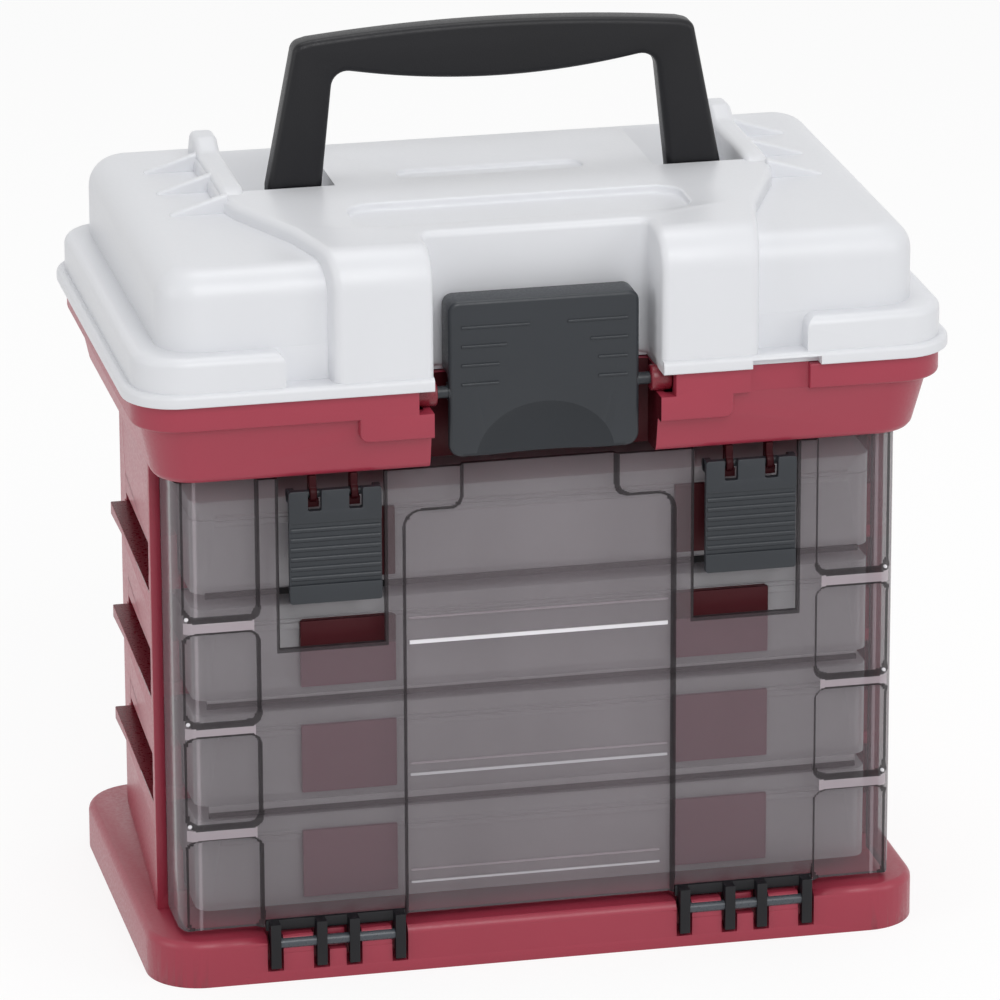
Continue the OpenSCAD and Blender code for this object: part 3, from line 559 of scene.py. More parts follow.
def rod(centre, r, low, high, n=32):
    """A round bar from left to right."""
    return prism(arc(*centre, r, 0, 360 * (n - 1) / n, n - 1), "X", low, high)


def ball(radius, place, u, v, stretch=(1, 1, 1)):
    """A ball, or a stretched one."""
    bm = bmesh.new()
    bmesh.ops.create_uvsphere(bm, u_segments=u, v_segments=v, radius=radius)
    bmesh.ops.scale(bm, verts=bm.verts, vec=stretch)
    bmesh.ops.translate(bm, verts=bm.verts, vec=place)
    return bm


# ---- rows of like shapes, by geometry nodes ----


def row_tree():
    """A tree that repeats the object's own mesh along a step, in its own finish."""
    if "row_of_pieces" in bpy.data.node_groups:
        return bpy.data.node_groups["row_of_pieces"]
    tree = bpy.data.node_groups.new("row_of_pieces", "GeometryNodeTree")
    face = tree.interface
    face.new_socket("Geometry", in_out="INPUT", socket_type="NodeSocketGeometry")
    face.new_socket("Count", in_out="INPUT", socket_type="NodeSocketInt")
    face.new_socket("Step", in_out="INPUT", socket_type="NodeSocketVector")
    face.new_socket("Finish", in_out="INPUT", socket_type="NodeSocketMaterial")
    face.new_socket("Geometry", in_out="OUTPUT", socket_type="NodeSocketGeometry")
    given = tree.nodes.new("NodeGroupInput")
    made = tree.nodes.new("NodeGroupOutput")
    line = tree.nodes.new("GeometryNodeMeshLine")
    line.mode = "OFFSET"
    tree.links.new(given.outputs["Count"], line.inputs["Count"])
    tree.links.new(given.outputs["Step"], line.inputs["Offset"])
    copies = tree.nodes.new("GeometryNodeInstanceOnPoints")
    tree.links.new(line.outputs["Mesh"], copies.inputs["Points"])
    tree.links.new(given.outputs["Geometry"], copies.inputs["Instance"])
    real = tree.nodes.new("GeometryNodeRealizeInstances")
    tree.links.new(copies.outputs["Instances"], real.inputs["Geometry"])
    paint = tree.nodes.new("GeometryNodeSetMaterial")
    tree.links.new(real.outputs["Geometry"], paint.inputs["Geometry"])
    tree.links.new(given.outputs["Finish"], paint.inputs["Material"])
    tree.links.new(paint.outputs["Geometry"], made.inputs["Geometry"])
    return tree


def row_of(obj, count, step, mat):
    """The object repeated count times, each a step in millimetres from the last."""
    tree = row_tree()
    rows = obj.modifiers.new("row", "NODES")
    rows.node_group = tree
    values = {"Count": count, "Step": [v * MM for v in step], "Finish": finish(mat)}
    for item in tree.interface.items_tree:
        if item.in_out == "INPUT" and item.name in values:
            rows[item.identifier] = values[item.name]
    return settle(obj)


# ---- the pieces ----


class CaseOperator(bpy.types.Operator):
    """Makes the foot, the rack, the arms of the door latches and the lid's hinge pins"""
    bl_idname = "tackle.case"
    bl_label = "Foot, rack and hooks"

    def execute(self, context):
        edge = context.scene.tackle_sizes.edge
        foot = cad_copy("foot", "foot_shell", "case_red", edge)
        # The cushion ends above the foot, so that their tops don't lie in one plane
        crowned = tool(cushion(131, -76, 76, -0.4, FOOT_TOP + 0.25, 18, 3.2))
        cut_or_join(foot, [crowned], "INTERSECT")
        placed(smooth(foot), "case", "red", "foot")
        self.rack()
        # Painted shade: the arms of the door latches take a near-black red for the shade they stand
        # in
        hooks = cad_copy("bin_hooks", "latch_arms", "arm_red", edge * 0.5)
        roots = [solid("root", side_block(s, x - 1.9, x + 1.9, -76.9, -74, 165.3, 168), "arm_red")
                 for s in SIDES for x in ARM_X]
        placed(joined(hooks, *roots), "case", "dark_red", "bin_hooks")
        pins = cad_copy("lid_hinge_pins", "hinge_wires", "pin_steel", edge * 0.6)
        placed(pins, "case", "steel", "lid_hinge_pins")
        return {"FINISHED"}

    def rack(self):
        """The rack, with three louvres pressed out of each side wall, each above a rail."""
        rack = cad_copy("rack", "rack_shell", "case_red", 0.0009)
        cuts, walls, shade_sheets = [], [], []
        for s in SIDES:
            for k in (1, 2, 3):
                ledge = BOX_LOW + BOX_PITCH * k - 0.3
                cuts += louvre_mouth(s, ledge)
                walls += louvre_walls(s, ledge)
                shade_sheets += louvre_shade_sheets(s, ledge)
        cut_or_join(rack, cuts, "DIFFERENCE")
        joined(rack, *walls)
        placed(smooth(rack), "case", "red", "rack")
        # Dark sheets of painted shade in the louvres' mouths
        placed(smooth(joined(shade_sheets[0], *shade_sheets[1:])), "case", "dark_red")


def louvre_mouth(s, ledge):
    """What is cut out of the rack's wall: a mouth that narrows to the back, and a slot there."""
    mouth = [(-38.5, ledge - 6.2), (-38.5, ledge + 10.4), (38, ledge + 2.8), (38, ledge - 0.1)]
    return [tool(prism(mouth, "X", *span(s, 116.7, 130))),
            tool(side_block(s, 119.2, 130, 37.9, 41.5, ledge - 4.8, ledge + 1))]


def louvre_walls(s, ledge):
    """The flare below the mouth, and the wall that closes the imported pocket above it."""
    flare = []
    for y, top in ((-38.4, ledge - 6.6), (37.8, ledge - 0.6)):
        wall, low = wall_x(y), ledge - 15
        flare += [(s * x, y, z) for x, z in ((LOUVRE_X, top), (wall - 1, top), (wall, low),
                                             (wall - 1, low))]
    fill = [(s * (wall_x(y) - d), y, z)
            for y, low, high in ((-36, ledge + 10.15, ledge + 10.5),
                                 (38.8, ledge + 2.9, ledge + 9.8))
            for z in (low, high) for d in (0, 2.3)]
    return [solid("flare", hull(points), "case_red") for points in (flare, fill)]


def louvre_shade_sheets(s, ledge):
    """Painted shade: dark sheets on the floor and back of the mouth, where shade falls."""
    floor = [(s * x, y, z - d) for y, z in ((-38.4, ledge - 5.9), (37.8, ledge + 0.1))
             for x in (116.8, LOUVRE_X) for d in (0, 0.8)]
    plate = [(-39.4, ledge - 7), (-39.4, ledge + 11.2), (38.9, ledge + 3.6), (38.9, ledge - 1)]
    return [solid("louvre_shade", bm, "deep_red")
            for bm in (hull(floor), prism(plate, "X", *span(s, 115.7, 116.9)))]


def wall_x(y):
    """Half width of the rack at that depth; its walls draw in to the back."""
    return 124.3 - 0.067 * (y + 43)


def flared(z, inset):
    """A ring of the bin's wall, which flares from its floor to its mouth."""
    t = min(1.0, max(0.0, (z - 177) / 19))
    ring = round_rect(127 + 4.5 * t - inset, -78 - 4.4 * t + inset, 71 + t - inset,
                      14 + t - inset)
    return [(x, y, z) for x, y in ring]


class BinOperator(bpy.types.Operator):
    """Makes the red bin with its stepped rim, latch ears and hinge knuckles"""
    bl_idname = "tackle.bin"
    bl_label = "Bin"

    def execute(self, context):
        edge = context.scene.tackle_sizes.edge
        round_r = 2.5
        turns = [math.pi / 2 * (1 - i / 5) for i in range(6)]
        shell = solid("bin_shell", stacked(
            [flared(BIN_LOW + round_r * (1 - math.sin(a)), round_r * (1 - math.cos(a)))
             for a in turns] + [flared(MOUTH_Z + 0.8, 0)]), "case_red")
        band = tool(cushion(134.5, -85.4, 73, MOUTH_Z, BIN_TOP, 16, 0.5, 1.2))
        apron = tool(prism(filleted([(-62, 188.3, 3), (62, 188.3, 3), (62, 199, 0),
                                     (-62, 199, 0)], 5), "Y", -85.4, -78))
        round_edges(apron, 0.0011, 3, 50)
        cut_or_join(shell, [band, apron], "UNION")
        cavity = tool(stacked([flared(z, BIN_WALL) for z in (BIN_LOW + BIN_WALL, MOUTH_Z, 206)]))
        cut_or_join(cavity, [tool(block((-40.1, -90, 170), (40.1, -64, 210)))], "DIFFERENCE")
        latch_bay_cut = tool(block((-BAY_HALF, -90, 170), (BAY_HALF, -66.5, 210)))
        rim_notch = tool(block((67.5, -90, 195.9), (87.5, -82.4, 210)))
        ear_rooms = [tool(side_block(s, 37, 42.6, -90, -76, 196.8, 210)) for s in SIDES]
        cut_or_join(shell, [cavity, latch_bay_cut, rim_notch] + ear_rooms, "DIFFERENCE")
        tidy_mesh(shell, 0.3)
        round_edges(shell, edge * 1.2, 2, 50)
        self.knuckles(shell, edge)
        # Painted shade: the walls of the latch bay take a darker red where shade falls in the bay
        shell.data.materials.append(finish("bay_red"))
        for p in shell.data.polygons:
            x, y, _ = p.center / MM
            if abs(x) < BAY_HALF + 0.1 and -84 < y < -64 and abs(p.normal.z) < 0.9:
                p.material_index = 1
        placed(smooth(shell, 40), "case", "red", "bin")
        self.latch_ears()
        return {"FINISHED"}

    def latch_ears(self):
        """The two rings that hold the main latch's pins, in a dark red of painted shade."""
        for s, side in zip(SIDES, ("left", "right")):
            a, b = span(s, 35.5, 42.4)
            ear = solid(f"latch_ear_{side}", rod(LATCH_AXIS, 4.3, a, b, 40), "ear_red")
            cut_or_join(ear, [tool(rod(LATCH_AXIS, 1.6, a - 1, b + 1, 24))], "DIFFERENCE")
            round_edges(ear, 0.0007, 3, 50)
            placed(smooth(ear), "case", "red")

    def knuckles(self, shell, edge):
        """The bin's four knuckles, two at each hinge of the lid."""
        parts = []
        for s in SIDES:
            for x in (s * HINGE_X - 16, s * HINGE_X + 8):
                tube = solid("knuckle", rod(LID_AXIS, KNUCKLE_R, x, x + 8, 40), "case_red")
                cut_or_join(tube, [tool(block((x, 71.5, 198), (x + 8, LID_AXIS[0], 204.6)))],
                            "UNION")
                cut_or_join(tube, [tool(rod(LID_AXIS, HINGE_BORE_R, x - 1, x + 9))],
                            "DIFFERENCE")
                parts.append(round_edges(tidy_mesh(tube), edge * 0.7, 2, 40))
        return joined(shell, *parts)


def spine_solid(inset, z0, top):
    """The raised middle of the lid: it widens to the back and is rounded over at the front."""
    front, back, r = -86.6 + inset, 45.2, 13.0 - inset
    flank = [(x - inset, y) for x, y in ((69.8, front), (73.4, -68), (77.4, -52), (84.2, -36),
                                         (90.6, -21), (93.2, -10), (93.5, 0), (93.5, back))]
    plan = flank + [(-x, y) for x, y in reversed(flank)]
    spine = tool(prism(plan, "Z", z0, top))
    side = [(front, z0 - 1)] + arc(front + r, top - r, r, 180, 90, 14)
    side += [(back + 1, top), (back + 1, z0 - 1)]
    return cut_or_join(spine, [tool(prism(side, "X", -110, 110))], "INTERSECT")


def latch_bay(grow, back):
    """The bay in the lid that the main latch closes."""
    return tool(block((-BAY_HALF - grow, -90, 200), (BAY_HALF + grow, back, 260)))


def dips(grow, below):
    """The two shallow hollows in the top of the raised middle."""
    return [tool(prism(round_rect(hw + grow, y0 - grow, y1 + grow, r + grow), "Z",
                       SPINE_TOP - deep - below, 256)) for hw, y0, y1, r, deep in TOP_DIPS]


class LidOperator(bpy.types.Operator):
    """Makes the white lid with its tiers, wells, ears and fins"""
    bl_idname = "tackle.lid"
    bl_label = "Lid"

    def execute(self, context):
        sizes = context.scene.tackle_sizes
        low = LID_LOW + 0.6
        spine = spine_solid(0, low, SPINE_TOP)
        cut_or_join(spine, [latch_bay(0, BAY_BACK)], "DIFFERENCE")
        round_edges(tidy_mesh(spine, 0.3), sizes.lid_edge, 4, 20)
        cut_or_join(spine, dips(0, 0), "DIFFERENCE")
        round_edges(tidy_mesh(spine, 0.3), 0.001, 3, 50)
        tier = tool(cushion(134.4, -86.6, 76.9, low, TIER_TOP, 16.5, 3.2))
        gap = [(-86.2, 200)] + arc(-90.2, 217, 4, 0, 90, 8) + [(-90.2, 224), (90.2, 224)]
        gap += arc(90.2, 217, 4, 90, 180, 8) + [(86.2, 200)]
        cut_or_join(tier, [tool(prism(gap, "Y", -90, -79.6)), latch_bay(LID_WALL, BAY_BACK + 2.2)],
                    "DIFFERENCE")
        round_edges(tidy_mesh(tier, 0.3), 0.0012, 3, 50)
        dome = tool(cushion(DOME_HALF, DOME_FRONT, DOME_BACK, low, DOME_TOP, DOME_R, 10, 0, 12, 12))
        cut_or_join(dome, [latch_bay(LID_WALL, BAY_BACK + 2.2)], "DIFFERENCE")
        lid = solid("lid_shell", cushion(137.3, -88, 78.3, LID_LOW, RIM_TOP, 18, 1.8, 0.6),
                    "lid_pearl")
        cut_or_join(lid, [latch_bay(0.3, BAY_BACK + 1)], "DIFFERENCE")
        cut_or_join(lid, [tier, dome, spine], "UNION")
        cut_or_join(lid, self.hollows(), "DIFFERENCE")
        tidy_mesh(lid, 0.3)
        smooth(lid, 32)
        placed(lid, "lid", "white", "lid")
        self.ears(sizes)
        self.knuckles()
        rods = [solid("grip_pins", rod(GRIP_AXIS, 2.0, *span(s, 53.8, 85.8)), "grip_black")
                for s in SIDES]
        placed(smooth(joined(*rods)), "lid", "black", "handle_pins")
        return {"FINISHED"}

    def hollows(self):
        """The room under the lid, and the wells and trough that the handle folds into."""
        w = LID_WALL
        room = tool(cushion(DOME_HALF - w, DOME_FRONT + w, DOME_BACK - w, LID_LOW - 1,
                            DOME_TOP - w, DOME_R - w, 7.7))
        cut_or_join(room, [spine_solid(w, LID_LOW - 1, SPINE_TOP - w)], "UNION")
        keep = [tool(side_block(s, WELL_X[0] - w, WELL_X[1] + w, -4.2 - w, 84, WELL_Z - w, 270))
                for s in SIDES]
        keep += [tool(block((-WELL_X[1] - w, 42, WELL_Z - w), (WELL_X[1] + w, 84, 270))),
                 latch_bay(w, BAY_BACK + w)]
        cut_or_join(room, keep + dips(w, w), "DIFFERENCE")
        ramp = [(45.2, 236.1), (68, 243.6), (84, 243.6), (84, 270)]
        wells = [tool(prism([(-5.6, 270), (-5.6, WELL_Z)] + ramp, "X", *span(s, *WELL_X)))
                 for s in SIDES]
        trough = tool(prism([(44, 270), (44, WELL_Z)] + ramp, "X", -WELL_X[1], WELL_X[1]))
        rim_notch = tool(block((67.5, -90, 200), (90.6, -83, 208)))
        return wells + [trough, rim_notch, room]

    def ears(self, sizes):
        """The two ears beside the wells, each braced by a row of fins."""
        top = SPINE_TOP + 1.7
        outline = filleted([(-15, 249, 0), (-6, top, 12), (36, top, 8), (43, top + 4.0, 4),
                            (53, top + 4.0, 5), (60, 244, 0), (-15, 244, 0)], 8)
        ear = solid("lid_ear_right", prism(outline, "X", 84.75, 92.6), "lid_pearl")
        round_edges(ear, 0.0019, 4, 40)
        fin = solid("fin", prism([(91, top - 0.2), (110.6, 247.5), (110.6, 244), (91, 244)], "Y",
                                 -12.8, -9.8), "lid_pearl")
        round_edges(fin, 0.0009, 3, 30)
        row_of(fin, sizes.fins, (0, 25.8, 0), "lid_pearl")
        joined(ear, fin)
        for piece in (ear, mirrored(ear, "lid_ear_left")):
            placed(smooth(piece, 40), "lid", "white")

    def knuckles(self):
        """The lid's two knuckles, each between two of the bin's."""
        half = 7.6
        for s, side in zip(SIDES, ("left", "right")):
            x = s * HINGE_X
            tube = solid(f"lid_knuckle_{side}", rod(LID_AXIS, KNUCKLE_R, x - half, x + half, 40),
                         "lid_pearl")
            arm = tool(block((x - half, 74.3, LID_LOW + 0.3),
                             (x + half, LID_AXIS[0], LID_LOW + KNUCKLE_R)))
            cut_or_join(tube, [arm], "UNION")
            cut_or_join(tube, [tool(rod(LID_AXIS, HINGE_BORE_R, x - 16, x + 16))], "DIFFERENCE")
            round_edges(tidy_mesh(tube), 0.0004, 2, 40)
            placed(smooth(tube), "lid", "white")


def handle_outline():
    """Front outline of the handle, as X and height above its pivot."""
    shoulder, high, crown = 62.6, 58.7, 3.2
    bow, low, belly = 43, 39.7, 4.8 * 0.74
    steps = [i / 14 for i in range(-14, 15)]
    top = [(shoulder * t, high - crown * t * t) for t in steps]
    under = [(bow * t, low + belly * t * t) for t in reversed(steps)]
    right = filleted([(shoulder, high - crown, 0), (67.4, 54.2, 6), (76.8, 6, 0), (76.8, -8.5, 6),
                      (58.4, -8.5, 6), (58.8, 4, 10), (54.4, 45.2, 6), (bow, low + belly, 0)], 8)
    left = [(-x, z) for x, z in reversed(right)]
    return top[:-1] + right + under[1:-1] + left[:-1]


class HandleOperator(bpy.types.Operator):
    """Makes the black carrying handle, a strap that thickens at its pivots"""
    bl_idname = "tackle.handle"
    bl_label = "Handle"

    def execute(self, context):
        sizes = context.scene.tackle_sizes
        outline = [(x + GRIP_PLAY, z + GRIP_AXIS[1]) for x, z in handle_outline()]
        grip = solid("carry_handle", prism(outline, "Y", -20, 30), "grip_black")
        side = [(-4.2, 236), (-4.2, 310), (5.2, 310), (5.2, 249), (13.3, 241), (13.3, 236)]
        cut_or_join(grip, [tool(prism(side, "X", -90, 90))], "INTERSECT")
        round_edges(tidy_mesh(grip, 0.3), sizes.grip_edge, 5, 50, False)
        placed(smooth(grip, 50), "handle", "black", "handle")
        return {"FINISHED"}


class MainLatchOperator(bpy.types.Operator):
    """Makes the main latch with its ribs and thumb scoop"""
    bl_idname = "tackle.main_latch"
    bl_label = "Main latch"

    def execute(self, context):
        sizes = context.scene.tackle_sizes
        half, low, high = 31.6, 179.3, 232
        outline = filleted([(-half, low, 4.5), (half, low, 4.5), (half, high, 3.5),
                            (-half, high, 3.5)], 8)
        latch = solid("main_latch_body", prism(outline, "Y", LATCH_FACE_Y, -67.6), "latch_black")
        inside = LATCH_FACE_Y + 3
        cut_or_join(latch, [tool(block((-28.6, inside, 170), (28.6, -60, 229))),
                            tool(block((-40, inside, 170), (40, -60, 206.3)))], "DIFFERENCE")
        round_edges(tidy_mesh(latch), sizes.latch_edge, 3, 50)
        scoop = tool(ball(1, (0.4, LATCH_FACE_Y - 0.9, 178), 96, 72, (24, 3.2, 19.5)))
        cut_or_join(latch, [scoop], "DIFFERENCE")
        # Painted shade: the faces of the thumb scoop take a darker black
        latch.data.materials.append(finish("latch_dip"))
        for p in latch.data.polygons:
            x, y, z = p.center / MM
            scoop_shaded = abs(x) < 25 and z < 198 and LATCH_FACE_Y + 0.01 < y < -77
            if scoop_shaded and p.normal.y < -0.6:
                p.material_index = 1
        pins = []
        for s in SIDES:
            for r, y, x in ((3, -76.5, 31.5), (2, LATCH_AXIS[0], 39.4)):
                pins.append(solid("pin", rod((y, LATCH_AXIS[1]), r, *span(s, 24.6, x)),
                                  "latch_black"))
        joined(latch, *pins)
        crease(smooth(latch))
        placed(latch, "main_latch", "black", "main_latch")
        placed(smooth(self.ribs(sizes.latch_ribs), 60), "main_latch", "black")
        return {"FINISHED"}

    def ribs(self, count):
        """Fine ribs at both sides of the face, that leave a round field between them."""
        bars = []
        for i in range(count):
            z = 223.2 - 6.4 * i
            gap = 16.8 * math.sqrt(max(0.05, 1 - ((z - 207) / 17.5) ** 2))
            ring = arc(LATCH_FACE_Y + 0.1, z, 0.6, 0, 330, 11)
            for x0, x1 in ((-27.3, 1.5 - gap), (1.5 + gap, 27.6)):
                bars.append(solid("latch_ribs", prism(ring, "X", x0, x1), "latch_black"))
        return joined(bars[0], *bars[1:])


# Reflections on the door's middle panel: height, thickness, right end and finish
PANEL_LINES = ((114.0, 1.3, 43.5, "line_white"), (122.4, 0.5, 43.5, "smoke_pale"),
               (71.5, 0.5, 43.5, "smoke_pale"), (67.6, 0.9, 43.5, "line_soft"),
               (33.8, 0.5, 41, "smoke_pale"), (29.5, 0.7, 41, "line_soft"))


class DoorOperator(bpy.types.Operator):
    """Makes the smoky door, its hinges and its latches"""
    bl_idname = "tackle.door"
    bl_label = "Door"

    def execute(self, context):
        sizes = context.scene.tackle_sizes
        placed(door_shell(), "door", "smoke", "door")
        for s, side in zip(SIDES, ("left", "right")):
            hinge = cad_copy(f"door_hinge_{side}", f"hinge_fingers_{side}", "grip_black",
                             sizes.edge * 0.7)
            placed(hinge, "door", "black", f"door_hinge_{side}")
            # Painted highlight: the black plastic rods take a lighter grey that stands for the
            # light along them
            shaft = solid(f"door_rod_{side}", rod(DOOR_AXIS, 1.75, *span(s, 48.5, 90.5)),
                          "rod_grey")
            placed(smooth(shaft), "door", "black")
        self.glints()
        clasp = door_clasp(sizes)
        twin = mirrored(clasp, "door_clasp_left")
        for piece, side in ((clasp, "right"), (twin, "left")):
            placed(smooth(piece), f"door_latch_{side}", "black", f"door_latch_{side}")
        return {"FINISHED"}

    def glints(self):
        """Painted reflections: bright lines across the middle panel, and a bead of painted
        highlight at each ridge's outer end.
        """
        front = DOOR_FACE_Y - 0.4
        lines = [solid("door_lines", block((-43.5, front, z - thick / 2),
                                           (x, front + 0.5, z + thick / 2)), mat)
                 for z, thick, x, mat in PANEL_LINES]
        placed(joined(*lines), "door", "clear")
        beads = [solid("door_beads", ball(0.75, (s * 117.6, front, low - 0.6), 16, 10),
                       "line_white") for s in SIDES for low in WINDOW_LOWS[1:]]
        placed(smooth(joined(*beads), 60), "door", "clear")


def door_clasp(sizes):
    """A door latch: a notched plate with ribs across it, hung on a rod."""
    x0, x1, low, high = 54.1, 84.7, 133.2, 171.8
    back, base, face = -77.4, -79.4, -80.0
    sunk = base + 0.3
    notches = []
    for x in reversed(ARM_X):
        notches += [(x + 2.2, high, 0.5), (x + 2.2, 164.9, 0.6), (x - 2.2, 164.9, 0.6),
                    (x - 2.2, high, 0.5)]
    head = [(x1, high, 0.9)] + notches + [(x0, high, 0.9)]
    outlines = (("door_clasp_right", [(x0, low, 0.9), (x1, low, 0.9)] + head, base, back),
                ("top_pad", [(x0, 160.7, 0.4), (x1, 160.7, 0.4)] + head, face, sunk),
                ("foot_pad", [(x0, low, 0.9), (x1, low, 0.9), (x1, 139.6, 0.4),
                              (x0, 139.6, 0.4)], face, sunk))
    clasp, *pads = [round_edges(solid(name, prism(filleted(corners, 3), "Y", y0, y1),
                                      "latch_black"), 0.00028, 2, 40)
                    for name, corners, y0, y1 in outlines]
    ring = [(sunk + 0.88 * math.cos(a), 141.85 + 0.95 * math.sin(a))
            for a in (math.pi * (0.5 + i / 8) for i in range(9))]
    bar = solid("rib", prism(ring, "X", x0 + 0.5, x1 - 0.5), "latch_black")
    row_of(bar, sizes.clasp_ribs - 1, (0, 0, 3.3), "latch_black")
    ends = ((x0, x0 + 2.2), (x1 - 2.2, x1))
    hangers = [solid("hanger", rod(CLASP_AXIS, r, a, b, 24), "latch_black")
               for a, b, r in ((*ends[0], 2.2), (*ends[1], 2.2), (x0 + 1, x1 - 1, 1.4))]
    lugs = [solid("lug", block((a, -77.6, 167.3), (b, CLASP_AXIS[0], 171.7)), "latch_black")
            for a, b in ends]
    return joined(clasp, *pads, bar, *hangers, *lugs)


def ease(v, width):
    """0 below nothing, 1 past the width, smooth between."""
    t = min(1.0, max(0.0, v / width))
    return t * t * (3 - 2 * t)


def box_distance(x, z, x0, x1, z0, z1, r):
    """Distance outside a rectangle with round corners."""
    qx = abs(x - (x0 + x1) / 2) - (x1 - x0) / 2 + r
    qz = abs(z - (z0 + z1) / 2) - (z1 - z0) / 2 + r
    return math.hypot(max(qx, 0), max(qz, 0)) + min(max(qx, qz), 0) - r


# The door: half width, corner, sheet, back edge, how far its top may reach from its axis, the
# cut-outs round its latches, its windows, and the tones of its faces by their index: plain smoke,
# and painted light and shade
DOOR_HALF, DOOR_CORNER, DOOR_SHEET, DOOR_BACK_Y = 121.2, 6.0, 2.0, -46.0
DOOR_REACH = 162.2
CUT_OUT_X, CUT_OUT_LOW = (51.8, 87.0), 115.5
WINDOW_LOWS = (18.5, 56.1, 91.9, 128.3)
WINDOW_HIGHS = (49.8, 86.1, 122.0, 180.0)
DOOR_SMOKE_AND_PAINTED_LIGHT = ("smoke_face", "smoke_edge", "smoke_back", "smoke_ridge", "smoke_pale",
                 "smoke_panel")
FACE, EDGE_SHADE, BACK, RIDGE_HIGHLIGHT, PALE_HIGHLIGHT, PANEL_LIT = range(6)


def door_height(x, z):
    """How far the door's face stands out in front of its windows, in mm."""
    wide = box_distance(abs(x), z, -44.3, 44.3, 0, 159, 5)
    neck = box_distance(abs(x), z, -25, 25, 0, 200, 1)
    soft = 5.0
    h = max(soft - abs(wide - neck), 0) / soft
    rise = ease(min(wide, neck) - h * h * soft / 4, 1.7)
    for low, high in zip(WINDOW_LOWS, WINDOW_HIGHS):
        low_end = min(1.0, max(0.0, (low + 3.5 - z) / 3.5))
        window = box_distance(abs(x), z, 94.4, 118, low, high, 3.5)
        rise = min(rise, ease(window, 1.2 + low_end))
    if 46 <= abs(x) <= 93 and z < 20.71:
        return 0.58
    return 2.0 * rise


def door_finish(u, z, steep):
    """The door's tone there: plain, painted shade on steep faces and cut-out rims, painted
    highlight on ridges and corner strips, a painted lighter panel.
    """
    u = abs(u)
    if steep or (50.8 < u < 88 and z > 114.3):
        return EDGE_SHADE
    if 95.3 < u < 118.4 and any(low - 5.5 < z < low - 1.6 for low in WINDOW_LOWS[1:]):
        return RIDGE_HIGHLIGHT
    if u < 43.9 and z < 158.4:
        return PANEL_LIT
    return PALE_HIGHLIGHT if 113.7 < u < 114.9 else FACE


def spaced(stops):
    """Numbers from a list of (start, end, step)."""
    out = []
    for a, b, step in stops:
        n = max(1, round((b - a) / step))
        out += [a + (b - a) * i / n for i in range(n)]
    return out + [stops[-1][1]]


def door_path():
    """The door's face from above: each place, which way is outward, and the way from the middle."""
    flat = DOOR_HALF - DOOR_CORNER
    half = spaced([(0, 23, 5), (23, 24.4, 0.7), (24.4, 27.4, 0.35), (27.4, 30, 0.9), (30, 39, 3),
                   (39, 43.9, 0.8), (43.9, 46.3, 0.3), (46.3, 50.8, 1.5), (50.8, 51.8, 1),
                   (51.8, 87.0, 5), (87.0, 88.0, 1), (88.0, 93, 1.7), (93, 96, 0.3),
                   (96, 99, 1), (99, 112.6, 4), (112.6, 114.9, 1.15), (114.9, flat, 0.3)])
    path = [((x, DOOR_FACE_Y), (0, -1), x) for x in half]
    start = DOOR_FACE_Y + DOOR_CORNER
    for i in range(1, 17):
        a = math.radians(90 * i / 16)
        path.append(((flat + DOOR_CORNER * math.sin(a), start - DOOR_CORNER * math.cos(a)),
                     (math.sin(a), -math.cos(a)), flat + DOOR_CORNER * a))
    for y in spaced([(start, DOOR_BACK_Y, 4)])[1:]:
        path.append(((DOOR_HALF, y), (1, 0), flat + DOOR_CORNER * math.pi / 2 + y - start))
    return [((-p[0], p[1]), (-n[0], n[1]), -u) for p, n, u in reversed(path[1:])] + path


def door_levels():
    """Heights of the door's rows, closer where its face bends."""
    return spaced([(18.5, 20.7, 1.1), (20.7, 45, 4), (45, 49.3, 0.8), (49.3, 57.2, 0.35),
                   (57.2, 60, 0.8), (60, 81, 5), (81, 85.6, 0.8), (85.6, 92.6, 0.35),
                   (92.6, 96, 0.8), (96, 114.3, 4), (114.3, 115.5, 1.2), (115.5, 121.5, 0.8),
                   (121.5, 129.2, 0.35), (129.2, 133, 0.8), (133, 153, 5), (153, 158.4, 0.7),
                   (158.4, 161.4, 0.35), (161.4, 166, 0.7), (166, 174.3, 2.8)])


